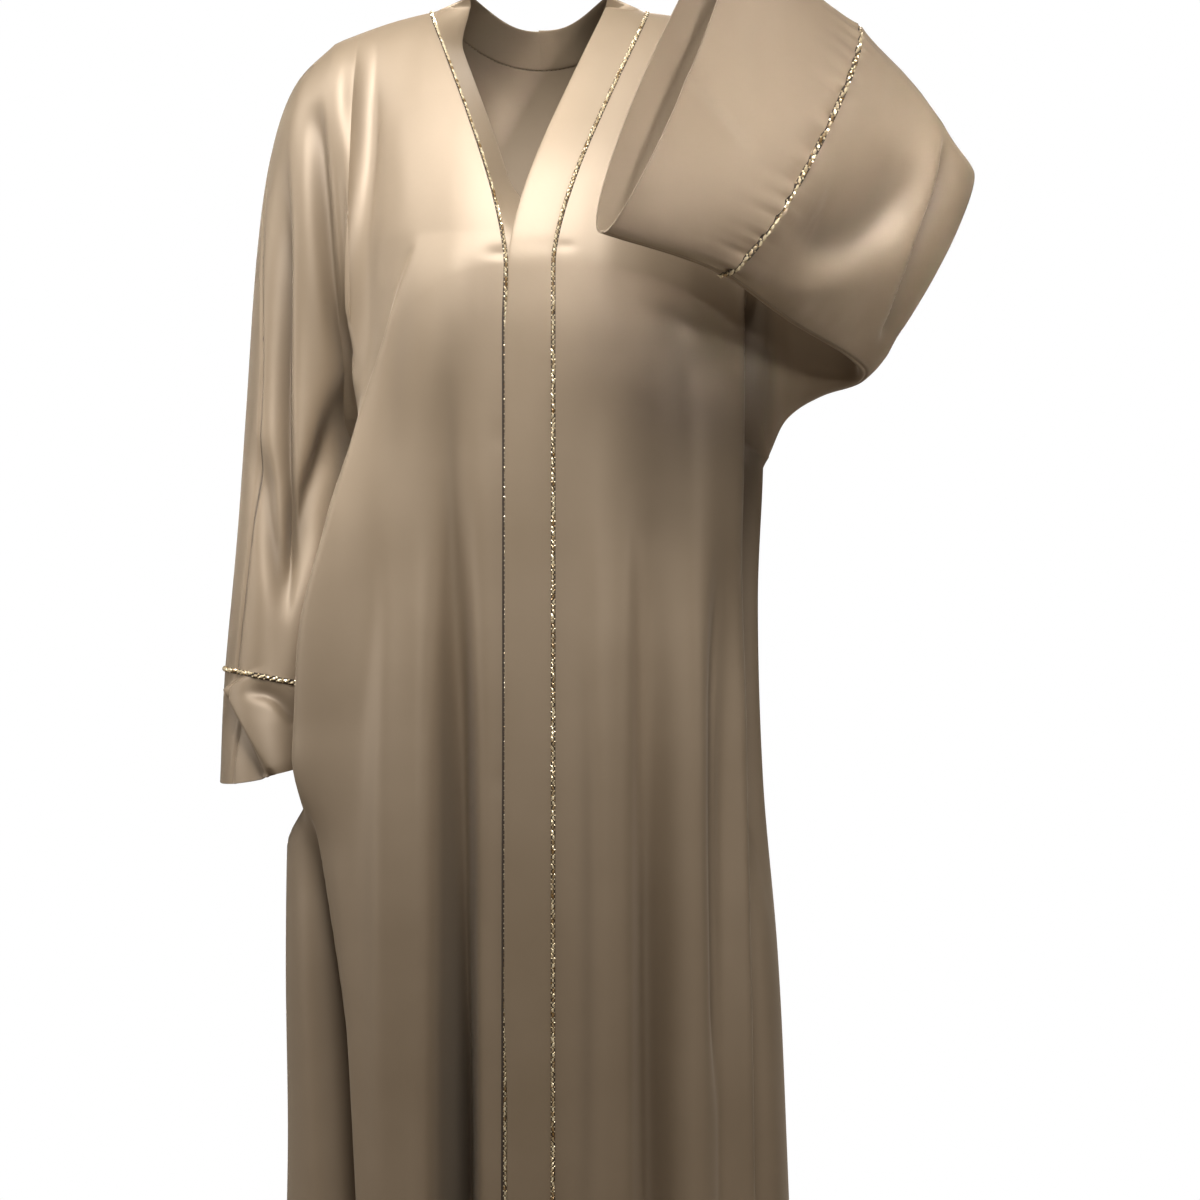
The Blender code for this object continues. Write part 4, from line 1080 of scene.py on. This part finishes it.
def bead_cord(name, line, normal, across, nodes, scale=1.0):
    """Long beads end to end on the seam, with small ones between them, as one mesh."""
    rng = random.Random(name)
    length = distances(line)
    pitch = BEAD_PITCH * scale
    shapes = {bead: bead_shape(bead, scale) for bead in (LONG_BEAD, SMALL_BEAD)}
    vertices, faces, tones = [], [], []
    start = 0
    for k in range(int(length[-1] / pitch)):
        for kind, bead in enumerate((LONG_BEAD, SMALL_BEAD, SMALL_BEAD)):
            s = (k + 0.5) * pitch + (0 if kind == 0 else pitch / 2)
            if s > length[-1]:
                continue
            here = read_at(s, length, line)
            up = unit(read_at(s, length, normal))
            side = unit(read_at(s, length, across))
            ahead = unit(np.cross(up, side))
            swing = rng.uniform(-bead.swing, bead.swing)
            axis = unit(ahead * math.cos(swing) + side * math.sin(swing))
            beside = unit(np.cross(up, axis))
            aside = SMALL_BEAD_ASIDE[kind] if kind else rng.uniform(-LONG_BEAD_STRAYS, LONG_BEAD_STRAYS)
            centre = here + side * scale * aside + up * scale * bead.above
            size = rng.uniform(*BEAD_SIZES)
            shape, triangles = shapes[bead]
            turned = shape[:, :1] * beside + shape[:, 1:2] * up + shape[:, 2:] * axis
            vertices.append(centre + size * turned)
            faces.append(triangles + start)
            start += len(shape)
            tones.append(np.full(len(shape), rng.random() ** 0.8))
    data = bpy.data.meshes.new(name)
    data.from_pydata(np.concatenate(vertices).tolist(), [], np.concatenate(faces).tolist())
    tone = data.attributes.new("tone", "FLOAT", "POINT")
    tone.data.foreach_set("value", np.concatenate(tones).astype(np.float32))
    data.materials.append(BEADS)
    piece = bpy.data.objects.new(name, data)
    bpy.context.scene.collection.objects.link(piece)
    finished(piece, nodes)


TAPE_WIDTH, TAPE_LIFT, TAPE_THICK = 0.0044, 0.0005, 0.0003
# how far the under band's tape comes out from beneath the over band, as a painted shadow line
# along its edge, and where that ends
TAPE_SHADOW_SHOWS, TAPE_SHADOW_SHOWS_TO, TAPE_SHADOW_SHOWS_SPAN = 0.0016, 1.10, 0.06


def bead_tape_and_shadow(name, line, normal, across, scale=1.0):
    """The narrow woven tape that the beads are sewn to, its dark colour a painted shadow line each
    side of them.
    """
    points = []
    for k in np.linspace(-0.5, 0.5, 5):
        arched = normal * TAPE_LIFT * (1.6 - 5 * k * k)
        points.append(line + across * (TAPE_WIDTH * scale * k) + arched)
    piece = mapped_piece(name, np.stack(points, 1), TAPE_AND_SHADOW)
    solid = piece.modifiers.new("thickness", "SOLIDIFY")
    solid.thickness, solid.offset = TAPE_THICK, -1
    bake(piece)
    finished(piece, [])


for half, side in ((RIGHT, "right"), (LEFT, "left")):
    at, line, across, normal = bands[half]
    beside = 0.0
    # the under band's tape shows beside the over band's edge as a painted shadow line
    if half == RIGHT:
        beside = TAPE_SHADOW_SHOWS * eased((TAPE_SHADOW_SHOWS_TO - at) / TAPE_SHADOW_SHOWS_SPAN)[:, None]
    bead_tape_and_shadow(f"tape_shadow_front_{side}", line - across * beside, normal, across)
    bead_cord(f"beads_front_{side}", line, normal, across, [f"bead_trim_front_{side}"])
    ring = cuffs[half][0]
    outward = unit(cuffs[half][2] - ring)
    tangent = unit(np.gradient(ring, axis=0))
    up = unit(np.cross(tangent, outward)) * half
    bead_tape_and_shadow(f"tape_shadow_cuff_{side}", ring, up, outward, CUFF_BEADS)
    bead_cord(f"beads_cuff_{side}", ring, up, outward, [f"bead_trim_cuff_{side}"], CUFF_BEADS)


# ---------------------------------------------------------------- stage, camera and light
FLOOR_Z, FLOOR_RADIUS = -1.44, 9.0
CAMERA_PLACE = (0.061, -2.56, -0.599)
SENSOR_WIDTH = 36.0
FOCAL_PIXELS, RENDER_PIXELS = 2544, 1200

mesh = bmesh.new()
bmesh.ops.create_circle(mesh, cap_ends=True, segments=96, radius=FLOOR_RADIUS)
data = bpy.data.meshes.new("floor")
mesh.to_mesh(data)
mesh.free()
floor = bpy.data.objects.new("floor", data)
floor.location = (0, 0, FLOOR_Z)
data.materials.append(floor_material())
bpy.context.scene.collection.objects.link(floor)

camera = bpy.data.objects.new("camera", bpy.data.cameras.new("camera"))
bpy.context.scene.collection.objects.link(camera)
camera.location = CAMERA_PLACE
camera.rotation_euler = (math.radians(90), 0, 0)
camera.data.sensor_width = SENSOR_WIDTH
camera.data.lens = SENSOR_WIDTH * FOCAL_PIXELS / RENDER_PIXELS
bpy.context.scene.camera = camera

DAYLIGHT, BEHIND = (1.0, 0.99, 0.975), (1.0, 0.98, 0.96)
WARM, WARMER = (1.0, 0.97, 0.93), (1.0, 0.96, 0.91)
# Round lamps: where each hangs, what it faces, its size, watts, colour and the spread of its beam
Light = namedtuple("Light", "name place aim size watts colour spread", defaults=(180,))
LIGHTS = (
    Light("key", (0.2, -1.7, 1.2), (0.1, -0.2, -0.2), 1.0, 59, DAYLIGHT),
    Light("high_left", (-1.5, -0.6, 1.2), (-0.1, -0.1, -0.2), 0.8, 27, DAYLIGHT),
    Light("low_left", (-2.0, -0.2, -0.2), (-0.3, 0.0, -0.5), 0.9, 12, WARM),
    Light("right", (1.9, -0.9, 0.1), (0.1, 0.0, -0.6), 0.7, 10, WARMER),
    Light("chest", (-0.15, -1.25, 1.25), (-0.09, -0.12, -0.12), 0.5, 1.7, DAYLIGHT, 26),
    Light("elbow", (1.5, -1.5, -0.2), (0.36, -0.18, -0.21), 0.25, 0.34, DAYLIGHT, 12),
    Light("raised_cuff", (0.6, -2.1, -0.3), (0.16, -0.33, -0.17), 0.25, 0.18, DAYLIGHT, 12),
    Light("sleeve", (-0.6, -1.9, 0.1), (-0.26, -0.05, -0.52), 0.25, 0.14, DAYLIGHT, 12),
    Light("behind", (0.4, 2.3, 1.2), (0.0, 0.1, -0.6), 1.6, 70, BEHIND),
)
for light in LIGHTS:
    data = bpy.data.lights.new(light.name, "AREA")
    data.shape, data.size, data.spread = "DISK", light.size, math.radians(light.spread)
    data.energy, data.color = light.watts, light.colour
    lamp = bpy.data.objects.new(light.name, data)
    lamp.location = light.place
    lamp.rotation_euler = (Vector(light.aim) - Vector(light.place)).to_track_quat("-Z", "Y").to_euler()
    bpy.context.scene.collection.objects.link(lamp)

world = bpy.data.worlds.new("studio")
bpy.context.scene.world = world
world.use_nodes = True
tree = world.node_tree
tree.nodes.clear()
ray = node(tree, "ShaderNodeLightPath")
dome = node(tree, "ShaderNodeBackground", inputs={"Color": (1.0, 0.985, 0.96, 1.0), "Strength": 0.04})
white = node(tree, "ShaderNodeBackground", inputs={"Color": (1.0, 1.0, 1.0, 1.0), "Strength": 1.0})
parts = [(0, ray, "Is Camera Ray"), (1, dome, "Background"), (2, white, "Background")]
mixed = node(tree, "ShaderNodeMixShader", parts)
node(tree, "ShaderNodeOutputWorld", [("Surface", mixed, "Shader")])

bpy.context.scene.view_settings.view_transform = "Standard"
